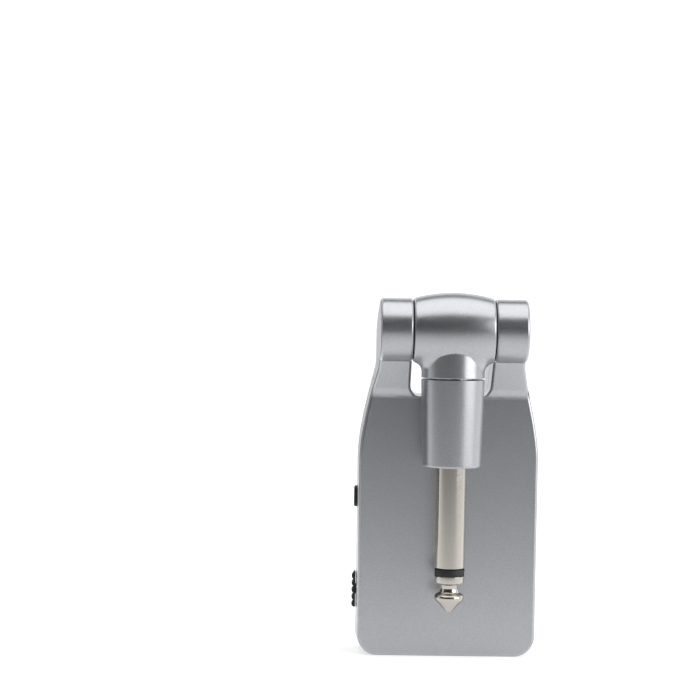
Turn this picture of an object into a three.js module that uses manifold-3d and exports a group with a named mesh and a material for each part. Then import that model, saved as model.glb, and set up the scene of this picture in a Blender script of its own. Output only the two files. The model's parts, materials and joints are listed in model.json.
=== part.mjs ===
// Wireless guitar transmitter with a folding quarter-inch plug.
//
// Millimetres, +Z up, standing on its bottom end. X runs across the body, the printed front faces +Y and
// the flat back faces -Y, with the plug folded down against it. The origin is the middle of the bottom
// end, halfway through the body's thickness. The plug arm is built pointing up from the hinge axis and is
// then folded down by its group.

import * as THREE from "three";
import { mergeVertices } from "three/addons/utils/BufferGeometryUtils.js";
import Module from "manifold-3d";

const wasm = await Module();
wasm.setup();

// ---------------------------------------------------------------- driving dimensions

// body
const BODY_WIDTH = 38.4;
const BODY_THICKNESS = 13;
const BODY_HEIGHT = 76.1;
const SIDE_TAPER = 0.1; // how much each side draws in from the shoulder down to the bottom corner
const CORNER_RADIUS = 4.4; // bottom corners, seen from the front
const SHOULDER_START = 41.8; // where the straight sides begin to lean in
const SHOULDER_END = 61.6; // where the hinge ears begin
const EAR_SPAN = 31.1; // across both ears
const WALL = 1.5;
const NOTCH_WIDTH = 18.2; // between the ears, level with the hinge axis
const NOTCH_DRAW = 0.6; // how much each side of the gap draws in by the front face
const NOTCH_FLOOR = 55.2;
const NOTCH_RADIUS = 2.4;

// side view of the ears
const HINGE_Y = -13.7;
const HINGE_Z = 69.5;
const KNUCKLE_RADIUS = BODY_HEIGHT - HINGE_Z;
const FRONT_CURVE_START = 56.4; // where the front face begins to sweep back to the knuckle
const RAMP_FOOT = 56.1; // where the flat back meets the ramp under the ears
const RAMP_ANGLE = 280.5; // place on the knuckle, in degrees, where the ramp leaves it

// seam between the shells
const PARTING_Y = 1;
const PARTING_BEND = 50; // the seam is straight up to here, then swings back to the hinge axis
const SHELL_GAP = 0.3;
const LIP_HEIGHT = 1.5;
const LIP_SET_IN = 0.9;
const LIP_TOP = PARTING_BEND - 1;

// side controls, both on the -X wall and centred on the seam
const BUTTON_Z = 33.2;
const BUTTON_LENGTH = 4.5;
const BUTTON_HEIGHT = 2.6;
const BUTTON_PROUD = 0.6;
const SLIDER_Z = 13.2;
const SLIDER_LENGTH = 7.6;
const SLIDER_HEIGHT = 2.6;
const STEM_LENGTH = 2.2;
const STEM_HEIGHT = 1.6;
const SLIDER_PROUD = 0.85;
const SLIDER_TRAVEL = 2;
const SLIDER_RIBS = 5;
const RIB_PITCH = 1.5;
const SLOT_CLEARANCE = 0.2;
const SWITCH_FACE = -15.4; // the face that both switches show to the wall

// circuit board, which lies between the battery and the rear shell
const BOARD_BACK = -2;
const BOARD_FRONT = -1;
const BOARD_HALF_WIDTH = 16.2;
const BOARD_LOW = 3;
const BOARD_HIGH = 49;
const SCREW_X = 14;
const SCREW_LOW_Z = 6.4;
const SCREW_HIGH_Z = 45.5;
const SOCKET_X = 7;
const SOCKET_WIDTH = 8.9;
const SOCKET_HEIGHT = 3.2;
const SOCKET_Y = BOARD_FRONT + SOCKET_HEIGHT / 2 + 0.1;
const SOCKET_DEPTH = 7.3;
const SOCKET_PLATE = 0.3;
const LIGHT_X = -7;
const LIGHT_Y = BOARD_FRONT + 0.7;
const PIPE_RADIUS = 0.8;

// hinge
const BARREL_LENGTH = 16.9;
const BARREL_END_RADIUS = 6.65;
const BARREL_CROWN = 1.2; // how much fatter the barrel is in its middle
const PIVOT_RADIUS = 2;
const PIVOT_CLEARANCE = 0.12;
const PIVOT_REACH = 3.2; // how near to the middle each pivot comes
const PIVOT_HEAD_RADIUS = 3.4;
const WIRE_RADIUS = 0.45;

// plug arm, measured outwards from the hinge axis
const NECK_RADIUS = 6.6;
const NECK_FLARE = 0.8; // how much fatter the neck is where it enters the barrel
const SEAM_AT = 10;
const SEAM_GAP = 0.3;
const SLEEVE_END = 28.4;
const SLEEVE_RADIUS_TOP = 6.62;
const SLEEVE_RADIUS_END = 6.2;
const SLEEVE_BORE = 4.9;
const SHAFT_RADIUS = 3.175; // half of a quarter inch
const SHAFT_START = 21.2;
const SHAFT_BORE = 2.2;
const SHAFT_END = SLEEVE_END + 21.3;
const RING_END = SHAFT_END + 1.5;
const BALL_AT = SHAFT_END + 6;
const TIP_END = SHAFT_END + 9.1;
const FLANGE_AT = SLEEVE_END - 2.8; // the shaft's flange, which a nut clamps inside the sleeve
const ROD_RADIUS = 0.9;

const ROUND = 32; // sides of a large round part
const SMALL_ROUND = 16;

// ---------------------------------------------------------------- materials

function material(color, roughness, metalness) {
  return new THREE.MeshStandardMaterial({ color, roughness, metalness });
}

const silverPaint = material(0xa2a4a8, 0.42, 0.65);
const nickel = material(0xb4aea6, 0.2, 1);
const brass = material(0xb89a56, 0.3, 1);
const steel = material(0x9a9c9f, 0.3, 1);
const blackPlastic = material(0x141416, 0.45, 0);
const whitePlastic = material(0xe6e4dc, 0.5, 0);
const boardGreen = material(0x1c5a38, 0.5, 0);
const chipBlack = material(0x1b1b1d, 0.6, 0);
const ceramicWhite = material(0xd8d4c8, 0.6, 0);
const cellFoil = material(0xb9bcc0, 0.35, 0.8);
const foam = material(0x2a2a2c, 0.95, 0);
const clearPlastic = material(0xe8eef0, 0.15, 0);
const redInsulation = material(0xa51e1e, 0.5, 0);
const blackInsulation = material(0x18181a, 0.5, 0);

// ---------------------------------------------------------------- solids

// A closed three.js geometry as a solid that can be joined and cut.
function solidOf(geometry) {
  const bare = geometry.clone();
  bare.deleteAttribute("normal");
  bare.deleteAttribute("uv");
  const merged = mergeVertices(bare, 1e-3);
  return new wasm.Manifold(
    new wasm.Mesh({
      numProp: 3,
      vertProperties: merged.attributes.position.array,
      triVerts: new Uint32Array(merged.index.array),
    }),
  );
}

function geometryOf(solid) {
  const mesh = solid.getMesh();
  const geometry = new THREE.BufferGeometry();
  geometry.setAttribute("position", new THREE.BufferAttribute(mesh.vertProperties, 3));
  geometry.setIndex(new THREE.BufferAttribute(mesh.triVerts, 1));
  geometry.computeVertexNormals();
  return geometry;
}

function cut(solid, ...tools) {
  return tools.reduce((left, tool) => left.subtract(tool), solid);
}

function join(...solids) {
  return solids.reduce((whole, piece) => whole.add(piece));
}

function box(xLow, xHigh, yLow, yHigh, zLow, zHigh) {
  const geometry = new THREE.BoxGeometry(xHigh - xLow, yHigh - yLow, zHigh - zLow);
  geometry.translate((xLow + xHigh) / 2, (yLow + yHigh) / 2, (zLow + zHigh) / 2);
  return solidOf(geometry);
}

// A shape drawn in (x, z), extruded along Y. Each side draws in by narrowing for every millimetre in front
// of the hinge axis.
function extrudeAlongY(shape, yLow, yHigh, narrowing = 0) {
  const geometry = new THREE.ExtrudeGeometry(shape, {
    depth: yHigh - yLow,
    bevelEnabled: false,
    curveSegments: 10,
  });
  geometry.rotateX(Math.PI / 2);
  geometry.translate(0, yHigh, 0);
  const places = geometry.getAttribute("position");
  for (let i = 0; i < places.count; i++) {
    const x = places.getX(i);
    places.setX(i, x - Math.sign(x) * narrowing * (places.getY(i) - HINGE_Y));
  }
  return solidOf(geometry);
}

// A shape drawn in (y, z), extruded along X.
function extrudeAlongX(shape, xLow, xHigh) {
  const geometry = new THREE.ExtrudeGeometry(shape, {
    depth: xHigh - xLow,
    bevelEnabled: false,
    curveSegments: 14,
  });
  geometry.applyMatrix4(new THREE.Matrix4().set(0, 0, 1, xLow, 1, 0, 0, 0, 0, 1, 0, 0, 0, 0, 0, 1));
  return solidOf(geometry);
}

// A shape drawn in (x, y), extruded along Z.
function extrudeAlongZ(shape, zLow, zHigh) {
  const geometry = new THREE.ExtrudeGeometry(shape, {
    depth: zHigh - zLow,
    bevelEnabled: false,
    curveSegments: 6,
  });
  geometry.translate(0, 0, zLow);
  return solidOf(geometry);
}

// A profile of [radius, place] pairs turned about Z. It starts and ends on the axis, or closes on itself.
function turned(profile, sides = ROUND) {
  const points = profile.map(([radius, place]) => new THREE.Vector2(radius, place));
  const geometry = new THREE.LatheGeometry(points, sides);
  geometry.rotateX(Math.PI / 2);
  return solidOf(geometry);
}

function rod(radius, low, high, sides = ROUND) {
  return turned([[0, low], [radius, low], [radius, high], [0, high]], sides);
}

function ring(inner, outer, low, high, sides = ROUND) {
  return turned([[inner, low], [outer, low], [outer, high], [inner, high], [inner, low]], sides);
}

// Turns a solid made along +Z so that it lies along +X.
function layAlongX(solid) {
  return solid.rotate([0, 90, 0]);
}

// Turns a solid made along +Z so that it lies along +Y.
function layAlongY(solid) {
  return solid.rotate([-90, 0, 0]);
}

// A round wire through the given points.
function wire(points, radius) {
  const knots = points.map((point) => new THREE.Vector3(...point));
  const path = new THREE.CatmullRomCurve3(knots, false, "centripetal");
  const section = new THREE.Shape();
  section.absarc(0, 0, radius, 0, 2 * Math.PI, false);
  const geometry = new THREE.ExtrudeGeometry(section, {
    steps: 3 * points.length,
    curveSegments: 4,
    extrudePath: path,
  });
  return solidOf(geometry);
}

function addPiece(group, name, solid, look) {
  const mesh = new THREE.Mesh(geometryOf(solid), look);
  mesh.name = name;
  group.add(mesh);
  return mesh;
}

// ---------------------------------------------------------------- the body's outer form

// The body seen from the front, set in by a wall thickness. It runs past the top, where the side view
// ends it.
function frontOutline(inset) {
  const half = BODY_WIDTH / 2 - inset;
  const foot = half - SIDE_TAPER;
  const ear = EAR_SPAN / 2 - inset;
  const corner = CORNER_RADIUS - inset;
  const shoulder = SHOULDER_END - SHOULDER_START;
  const above = BODY_HEIGHT + 1;
  const easeOutOfSide = SHOULDER_START + 0.3 * shoulder;
  const easeIntoEar = SHOULDER_END - 0.24 * shoulder;
  const leaning = ear + 1.15;
  const shape = new THREE.Shape();
  shape.moveTo(-foot + corner, inset);
  shape.lineTo(foot - corner, inset);
  shape.absarc(foot - corner, inset + corner, corner, -Math.PI / 2, 0, false);
  shape.lineTo(half, SHOULDER_START);
  shape.bezierCurveTo(half, easeOutOfSide, leaning, easeIntoEar, ear, SHOULDER_END);
  shape.lineTo(ear, above);
  shape.lineTo(-ear, above);
  shape.lineTo(-ear, SHOULDER_END);
  shape.bezierCurveTo(-leaning, easeIntoEar, -half, easeOutOfSide, -half, SHOULDER_START);
  shape.lineTo(-foot, inset + corner);
  shape.absarc(-foot + corner, inset + corner, corner, Math.PI, 1.5 * Math.PI, false);
  return shape;
}

// The body seen from the side, in (y, z): a flat slab whose top sweeps back to a knuckle round the hinge
// axis, with a ramp from the knuckle's underside down to the flat back.
function sideOutline(inset) {
  const front = BODY_THICKNESS / 2 - inset;
  const back = -BODY_THICKNESS / 2 + inset;
  const hinge = new THREE.Vector2(HINGE_Y, HINGE_Z);
  const radius = KNUCKLE_RADIUS - inset;
  const leave = THREE.MathUtils.degToRad(RAMP_ANGLE);
  const leaving = new THREE.Vector2(Math.cos(leave), Math.sin(leave));
  const rampTop = leaving.multiplyScalar(KNUCKLE_RADIUS).add(hinge);
  const along = new THREE.Vector2(-BODY_THICKNESS / 2, RAMP_FOOT).sub(rampTop).normalize();
  const inward = new THREE.Vector2(-along.y, along.x);
  const start = rampTop.clone().addScaledVector(inward, inset);
  const fromHinge = start.clone().sub(hinge);
  const reach = fromHinge.dot(along);
  const toKnuckle = Math.sqrt(reach * reach - fromHinge.lengthSq() + radius * radius) - reach;
  const meet = start.clone().addScaledVector(along, toKnuckle);
  const foot = start.clone().addScaledVector(along, (back - start.x) / along.x);
  const meetAngle = Math.atan2(meet.y - HINGE_Z, meet.x - HINGE_Y) + 2 * Math.PI;
  const shape = new THREE.Shape();
  shape.moveTo(back, inset);
  shape.lineTo(front, inset);
  shape.lineTo(front, FRONT_CURVE_START);
  const rise = BODY_HEIGHT - inset - FRONT_CURVE_START;
  shape.absellipse(HINGE_Y, FRONT_CURVE_START, front - HINGE_Y, rise, 0, Math.PI / 2, false, 0);
  shape.absarc(HINGE_Y, HINGE_Z, radius, Math.PI / 2, meetAngle, false);
  shape.lineTo(foot.x, foot.y);
  return shape;
}

// The gap between the ears, seen from the front, made bigger by a wall thickness for the shells' insides.
function notch(grow) {
  const half = NOTCH_WIDTH / 2 + grow;
  const floor = NOTCH_FLOOR - grow;
  const radius = NOTCH_RADIUS + grow;
  const above = BODY_HEIGHT + 5;
  const shape = new THREE.Shape();
  shape.moveTo(-half, above);
  shape.lineTo(-half, floor + radius);
  shape.absarc(-half + radius, floor + radius, radius, Math.PI, 1.5 * Math.PI, false);
  shape.lineTo(half - radius, floor);
  shape.absarc(half - radius, floor + radius, radius, -Math.PI / 2, 0, false);
  shape.lineTo(half, above);
  const narrowing = NOTCH_DRAW / (BODY_THICKNESS / 2 - HINGE_Y);
  return extrudeAlongY(shape, HINGE_Y - 12, BODY_THICKNESS, narrowing);
}

function bodyForm(inset) {
  const fromFront = extrudeAlongY(frontOutline(inset), HINGE_Y - 10, BODY_THICKNESS);
  const fromSide = extrudeAlongX(sideOutline(inset), -BODY_WIDTH, BODY_WIDTH);
  return cut(fromFront.intersect(fromSide), notch(inset));
}

// Everything on one side of the seam: side is +1 for the front half and -1 for the rear half.
function halfSpace(side) {
  const shiftY = (side * SHELL_GAP) / 2;
  const shiftZ = (side * SHELL_GAP) / 4;
  const far = side * 60;
  const shape = new THREE.Shape();
  shape.moveTo(far, -5);
  shape.lineTo(PARTING_Y + shiftY, -5);
  shape.lineTo(PARTING_Y + shiftY, PARTING_BEND + shiftZ);
  shape.bezierCurveTo(
    PARTING_Y + shiftY, PARTING_BEND + 8 + shiftZ, HINGE_Y + 5.7 + shiftY, HINGE_Z - 3.4 + shiftZ,
    HINGE_Y + shiftY, HINGE_Z + shiftZ,
  );
  shape.lineTo(HINGE_Y + shiftY, BODY_HEIGHT + 5);
  shape.lineTo(far, BODY_HEIGHT + 5);
  return extrudeAlongX(shape, -BODY_WIDTH, BODY_WIDTH);
}

// The band just inside the outer wall where the shells overlap. It stays below the seam's bend.
function lipBand(setIn, yLow, yHigh, top) {
  return extrudeAlongY(frontOutline(setIn), yLow, yHigh).intersect(
    box(-BODY_WIDTH, BODY_WIDTH, yLow - 1, yHigh + 1, -1, top),
  );
}

// ---------------------------------------------------------------- shells

// The -X wall's outer face at a height on the straight part of the side.
function wallX(z) {
  return -BODY_WIDTH / 2 + (SIDE_TAPER * (SHOULDER_START - z)) / (SHOULDER_START - CORNER_RADIUS);
}

function pivotHoles() {
  return layAlongX(rod(PIVOT_RADIUS + 0.3, -11, 11, 24)).translate([0, HINGE_Y, HINGE_Z]);
}

function buttonSlot() {
  const halfLength = BUTTON_LENGTH / 2 + SLOT_CLEARANCE;
  const halfHeight = BUTTON_HEIGHT / 2 + SLOT_CLEARANCE;
  const outside = wallX(BUTTON_Z) - 1;
  return box(
    outside, outside + WALL + 2, PARTING_Y - halfHeight, PARTING_Y + halfHeight,
    BUTTON_Z - halfLength, BUTTON_Z + halfLength,
  );
}

function sliderSlot() {
  const halfLength = STEM_LENGTH / 2 + SLOT_CLEARANCE;
  const halfHeight = STEM_HEIGHT / 2 + SLOT_CLEARANCE;
  const outside = wallX(SLIDER_Z) - 1;
  return box(
    outside, outside + WALL + 2, PARTING_Y - halfHeight, PARTING_Y + halfHeight,
    SLIDER_Z - halfLength, SLIDER_Z + halfLength + SLIDER_TRAVEL,
  );
}

// A slot with round ends, centred on (x, y), seen along Z.
function roundSlot(x, y, width, height) {
  const radius = height / 2;
  const straight = width / 2 - radius;
  const shape = new THREE.Shape();
  shape.moveTo(x - straight, y - radius);
  shape.lineTo(x + straight, y - radius);
  shape.absarc(x + straight, y, radius, -Math.PI / 2, Math.PI / 2, false);
  shape.lineTo(x - straight, y + radius);
  shape.absarc(x - straight, y, radius, Math.PI / 2, 1.5 * Math.PI, false);
  return shape;
}

function bottomHoles() {
  const socketHole = roundSlot(SOCKET_X, SOCKET_Y, SOCKET_WIDTH + 0.6, SOCKET_HEIGHT + 0.6);
  const lightHole = rod(PIPE_RADIUS + 0.3, -1, WALL + 1, SMALL_ROUND).translate([LIGHT_X, LIGHT_Y, 0]);
  return join(extrudeAlongZ(socketHole, -1, WALL + 1), lightHole);
}

function hollowBody() {
  return cut(bodyForm(0), bodyForm(WALL), pivotHoles(), buttonSlot(), sliderSlot(), bottomHoles());
}

function frontShell(whole) {
  const gap = SHELL_GAP;
  const rebate = lipBand(LIP_SET_IN - gap, PARTING_Y - 1, PARTING_Y + LIP_HEIGHT + gap, LIP_TOP + gap);
  return cut(whole.intersect(halfSpace(1)), rebate);
}

const screwPlaces = [];
for (const x of [-SCREW_X, SCREW_X]) {
  for (const z of [SCREW_LOW_Z, SCREW_HIGH_Z]) screwPlaces.push([x, z]);
}

function screwBoss([x, z]) {
  const back = -BODY_THICKNESS / 2 + WALL;
  return layAlongY(rod(1.8, back - 0.5, BOARD_BACK - 0.15, SMALL_ROUND)).translate([x, 0, z]);
}

function screwHole([x, z]) {
  return layAlongY(rod(1, -BODY_THICKNESS / 2 + WALL, 0, SMALL_ROUND)).translate([x, 0, z]);
}

function rearShell(whole) {
  const inside = lipBand(WALL, PARTING_Y - 2, PARTING_Y + 5, LIP_TOP + 1);
  const lip = cut(
    lipBand(LIP_SET_IN, PARTING_Y - 1.2, PARTING_Y + LIP_HEIGHT, LIP_TOP),
    inside, buttonSlot(), sliderSlot(), bottomHoles(),
  );
  const shell = join(whole.intersect(halfSpace(-1)), lip, ...screwPlaces.map(screwBoss));
  return cut(shell, ...screwPlaces.map(screwHole));
}

// ---------------------------------------------------------------- electronics

const SCREW_RADIUS = 0.65;
const SCREW_HEAD_RADIUS = 1.5;
const SCREW_HEAD_AT = BOARD_FRONT + 0.1;
const SCREW_HEAD_END = SCREW_HEAD_AT + 0.7;
const SCREW_END = -4.3;

function boardScrew([x, z]) {
  const profile = [
    [0, SCREW_END],
    [SCREW_RADIUS, SCREW_END],
    [SCREW_RADIUS, SCREW_HEAD_AT],
    [SCREW_HEAD_RADIUS, SCREW_HEAD_AT],
    [SCREW_HEAD_RADIUS - 0.2, SCREW_HEAD_END],
    [0, SCREW_HEAD_END],
  ];
  return layAlongY(turned(profile, SMALL_ROUND)).translate([x, 0, z]);
}

// a part soldered to the board's rear side: its x and z extent and how far it stands off
function onRear(xLow, xHigh, zLow, zHigh, height) {
  const foot = BOARD_BACK - 0.1;
  return box(xLow, xHigh, foot - height, foot, zLow, zHigh);
}

function addElectronics(group) {
  const hole = ([x, z]) => layAlongY(rod(0.95, -3, 0, SMALL_ROUND)).translate([x, 0, z]);
  const board = box(-BOARD_HALF_WIDTH, BOARD_HALF_WIDTH, BOARD_BACK, BOARD_FRONT, BOARD_LOW, BOARD_HIGH);
  addPiece(group, "main_board", cut(board, ...screwPlaces.map(hole)), boardGreen);
  screwPlaces.forEach((place, index) => {
    addPiece(group, "board_screw_" + (index + 1), boardScrew(place), steel);
  });

  // the battery lies in front of the board, taped to the inside of the front shell
  addPiece(group, "battery_cell", box(-10.5, 15, 0.75, 4.25, 9, 43), cellFoil);
  addPiece(group, "battery_tape", box(-8, 12.5, 4.4, 4.85, 14, 38), foam);

  addPiece(group, "radio_shield", onRear(-6, 6, 29, 42, 1.7), steel);
  addPiece(group, "chip_antenna", onRear(-3.6, 3.6, 45.6, 47.6, 1.1), ceramicWhite);
  addPiece(group, "audio_chip", onRear(-3, 3, 18.5, 24.5, 0.9), chipBlack);
  addPiece(group, "charger_chip", onRear(5.6, 8.8, 9.5, 12.7, 0.8), chipBlack);
  addPiece(group, "crystal", onRear(-9.6, -6.4, 23.6, 26.1, 0.8), steel);

  addSocket(group);
  addLight(group);

  // leads from the bottom of the cell to the board beside the socket
  const lead = (x) => [[x, 2.6, 8.8], [x, 2.5, 7.4], [x - 0.4, 1.2, 6.2], [x - 1.2, -0.4, 5.4]];
  addPiece(group, "battery_lead_red", wire(lead(0.6), 0.4), redInsulation);
  addPiece(group, "battery_lead_black", wire(lead(-1.2), 0.4), blackInsulation);
}

// The status light shines down a clear pipe in the bottom end.
function addLight(group) {
  const light = box(LIGHT_X - 0.8, LIGHT_X + 0.8, LIGHT_Y - 0.5, LIGHT_Y + 0.5, 3.1, 4.1);
  addPiece(group, "status_light", light, whitePlastic);
  const pipe = rod(PIPE_RADIUS, 0.1, 2.9, SMALL_ROUND).translate([LIGHT_X, LIGHT_Y, 0]);
  addPiece(group, "light_pipe", pipe, clearPlastic);
}

// The charging socket opens through the bottom end.
function addSocket(group) {
  const plates = 2 * SOCKET_PLATE;
  const rim = roundSlot(SOCKET_X, SOCKET_Y, SOCKET_WIDTH, SOCKET_HEIGHT);
  const outside = extrudeAlongZ(rim, 0.1, SOCKET_DEPTH);
  const mouth = roundSlot(SOCKET_X, SOCKET_Y, SOCKET_WIDTH - plates, SOCKET_HEIGHT - plates);
  addPiece(group, "charge_socket", cut(outside, extrudeAlongZ(mouth, -1, SOCKET_DEPTH - 0.5)), steel);
  const tongue = box(
    SOCKET_X - 3.1, SOCKET_X + 3.1, SOCKET_Y - 0.35, SOCKET_Y + 0.35, 1.2, SOCKET_DEPTH - 0.6,
  );
  addPiece(group, "socket_tongue", tongue, blackPlastic);
}

// ---------------------------------------------------------------- side controls

function addSwitches(group) {
  const low = BOARD_FRONT + 0.1;
  const high = PARTING_Y + 1.7;
  const pairSwitch = box(SWITCH_FACE, SWITCH_FACE + 3, low, high, BUTTON_Z - 2, BUTTON_Z + 2);
  addPiece(group, "pair_switch", pairSwitch, blackPlastic);
  const powerSwitch = box(SWITCH_FACE, SWITCH_FACE + 3.4, low, high, SLIDER_Z - 3.4, SLIDER_Z + 5.4);
  addPiece(group, "power_switch", powerSwitch, steel);
}

// The cap stands proud of the wall; the flange behind the wall keeps it in.
function pairButton() {
  const halfLength = BUTTON_LENGTH / 2;
  const halfHeight = BUTTON_HEIGHT / 2;
  const wall = wallX(BUTTON_Z);
  const flangeFace = wall + WALL + 0.3;
  const cap = box(
    wall - BUTTON_PROUD, flangeFace + 0.1, PARTING_Y - halfHeight, PARTING_Y + halfHeight,
    BUTTON_Z - halfLength, BUTTON_Z + halfLength,
  );
  const flange = box(
    flangeFace, flangeFace + 0.5, PARTING_Y - halfHeight - 0.7, PARTING_Y + halfHeight + 0.7,
    BUTTON_Z - halfLength - 0.7, BUTTON_Z + halfLength + 0.7,
  );
  const plunger = box(
    flangeFace, SWITCH_FACE - 0.5, PARTING_Y - 0.7, PARTING_Y + 0.7, BUTTON_Z - 0.7, BUTTON_Z + 0.7,
  );
  return join(cap, flange, plunger);
}

// A thin plate that covers its slot at both ends of its travel, with saw-tooth ribs for the thumb.
function powerSlider() {
  const low = SLIDER_Z - SLIDER_LENGTH / 2;
  const high = SLIDER_Z + SLIDER_LENGTH / 2;
  const wall = wallX(SLIDER_Z);
  const wallFace = wall - 0.12;
  const rootFace = wall - SLIDER_PROUD + 0.4;
  const crestFace = wall - SLIDER_PROUD;
  const shape = new THREE.Shape();
  shape.moveTo(low, wallFace);
  shape.lineTo(low, rootFace);
  for (let rib = 0; rib < SLIDER_RIBS; rib++) {
    const start = low + rib * RIB_PITCH;
    shape.lineTo(start + 0.15 * RIB_PITCH, crestFace);
    shape.lineTo(start + 0.5 * RIB_PITCH, crestFace);
    shape.lineTo(start + RIB_PITCH, rootFace);
  }
  shape.lineTo(high, rootFace);
  shape.lineTo(high, wallFace);
  const depth = SLIDER_HEIGHT;
  const geometry = new THREE.ExtrudeGeometry(shape, { depth, bevelEnabled: false });
  // drawn in (z, x) and extruded along y
  geometry.applyMatrix4(
    new THREE.Matrix4().set(0, 1, 0, 0, 0, 0, 1, PARTING_Y - depth / 2, 1, 0, 0, 0, 0, 0, 0, 1),
  );
  const stem = box(
    wallFace - 0.2, SWITCH_FACE - 0.3, PARTING_Y - STEM_HEIGHT / 2, PARTING_Y + STEM_HEIGHT / 2,
    SLIDER_Z - STEM_LENGTH / 2, SLIDER_Z + STEM_LENGTH / 2,
  );
  return join(solidOf(geometry), stem);
}

// ---------------------------------------------------------------- pivots in the ears

const EAR_INNER_FACE = NOTCH_WIDTH / 2 + WALL; // the ear's wall, seen from inside the ear
const HEAD_AT = EAR_INNER_FACE + 0.85;

// A headed pivot along +X, from inside the barrel to inside the ear.
function pivotProfile(bore) {
  const outside = [
    [PIVOT_RADIUS, PIVOT_REACH],
    [PIVOT_RADIUS, HEAD_AT],
    [PIVOT_HEAD_RADIUS, HEAD_AT],
    [PIVOT_HEAD_RADIUS, HEAD_AT + 0.9],
  ];
  const far = [bore, HEAD_AT + 0.9];
  const near = [bore, PIVOT_REACH];
  return bore > 0 ? [near, ...outside, far, near] : [near, ...outside, far];
}

function addPivots(group) {
  const place = (solid, side) => (side > 0 ? layAlongX(solid) : layAlongX(solid).rotate([0, 0, 180]));
  const put = (name, solid, side, look) => {
    const mesh = addPiece(group, name, place(solid, side), look);
    mesh.position.set(0, HINGE_Y, HINGE_Z);
  };
  put("pivot_bush", turned(pivotProfile(1.3), 24), 1, brass);
  put("pivot_pin", turned(pivotProfile(0), 24), -1, steel);
  const slit = (BARREL_LENGTH + NOTCH_WIDTH) / 4;
  const washer = ring(PIVOT_RADIUS + 0.15, 3.8, slit - 0.15, slit + 0.15, 24);
  put("friction_washer_right", washer, 1, blackPlastic);
  put("friction_washer_left", washer, -1, blackPlastic);
  const backing = ring(PIVOT_RADIUS + 0.15, 3.3, EAR_INNER_FACE + 0.15, HEAD_AT - 0.15, 24);
  put("spacer_washer", backing, 1, whitePlastic);
  put("spring_washer", backing, -1, steel);
}

// ---------------------------------------------------------------- plug arm, along +Z from the hinge axis

// The crowned barrel, its neck and the room inside them.
function hingeBarrel() {
  const half = BARREL_LENGTH / 2;
  const profile = [[0, -half]];
  const steps = 12;
  for (let step = 0; step <= steps; step++) {
    const along = -1 + (2 * step) / steps;
    const rounding = Math.abs(along) === 1 ? 0.4 : 0;
    profile.push([BARREL_END_RADIUS + BARREL_CROWN * (1 - along * along) - rounding, along * half]);
  }
  profile.push([0, half]);
  const barrel = layAlongX(turned(profile));
  const neckEnd = SEAM_AT - SEAM_GAP / 2;
  const neck = turned([
    [0, 0],
    [NECK_RADIUS + NECK_FLARE, 0],
    [NECK_RADIUS + NECK_FLARE, 2.6],
    [NECK_RADIUS + 0.65 * NECK_FLARE, 4.6],
    [NECK_RADIUS + 0.2 * NECK_FLARE, 6.8],
    [NECK_RADIUS, 8.4],
    [NECK_RADIUS, neckEnd],
    [0, neckEnd],
  ]);
  const room = rod(SLEEVE_BORE - 0.3, -2.6, SEAM_AT + 1, 24);
  const pivotBore = layAlongX(rod(PIVOT_RADIUS + PIVOT_CLEARANCE, -half - 1, half + 1, 24));
  return cut(join(barrel, neck), room, pivotBore);
}

function plugSleeve() {
  const start = SEAM_AT + SEAM_GAP / 2;
  const floor = SLEEVE_END - 1.5;
  return turned([
    [SLEEVE_BORE, start],
    [SLEEVE_RADIUS_TOP, start],
    [SLEEVE_RADIUS_END, SLEEVE_END - 0.7],
    [SLEEVE_RADIUS_END - 0.25, SLEEVE_END - 0.15],
    [SLEEVE_RADIUS_END - 0.8, SLEEVE_END],
    [SHAFT_RADIUS + 0.3, SLEEVE_END],
    [SHAFT_RADIUS + 0.3, floor],
    [SLEEVE_BORE, floor],
    [SLEEVE_BORE, start],
  ]);
}

function plugShaft() {
  return turned([
    [SHAFT_BORE, SHAFT_START],
    [SHAFT_RADIUS, SHAFT_START],
    [SHAFT_RADIUS, FLANGE_AT],
    [SLEEVE_BORE - 0.3, FLANGE_AT],
    [SLEEVE_BORE - 0.3, FLANGE_AT + 1],
    [SHAFT_RADIUS, FLANGE_AT + 1],
    [SHAFT_RADIUS, SHAFT_END - 0.15],
    [SHAFT_BORE, SHAFT_END - 0.15],
    [SHAFT_BORE, SHAFT_START],
  ]);
}

// The tip contact: collar, groove, ball and cone, with the rod that carries the signal through the shaft.
function plugTip() {
  const start = RING_END + 0.15;
  const rodStart = SHAFT_START - 2.2;
  const profile = [
    [0, rodStart],
    [ROD_RADIUS, rodStart],
    [ROD_RADIUS, start],
    [3.1, start],
    [3.1, BALL_AT - 2.9],
    [2.9, BALL_AT - 2.65],
    [2.05, BALL_AT - 2.1],
    [1.85, BALL_AT - 1.4],
    [2.05, BALL_AT - 0.9],
    [2.85, BALL_AT - 0.45],
    [3.05, BALL_AT],
    [2.85, BALL_AT + 0.6],
    [1.1, TIP_END - 0.5],
    [0.6, TIP_END - 0.1],
    [0, TIP_END],
  ];
  return turned(profile, 28);
}

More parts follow.
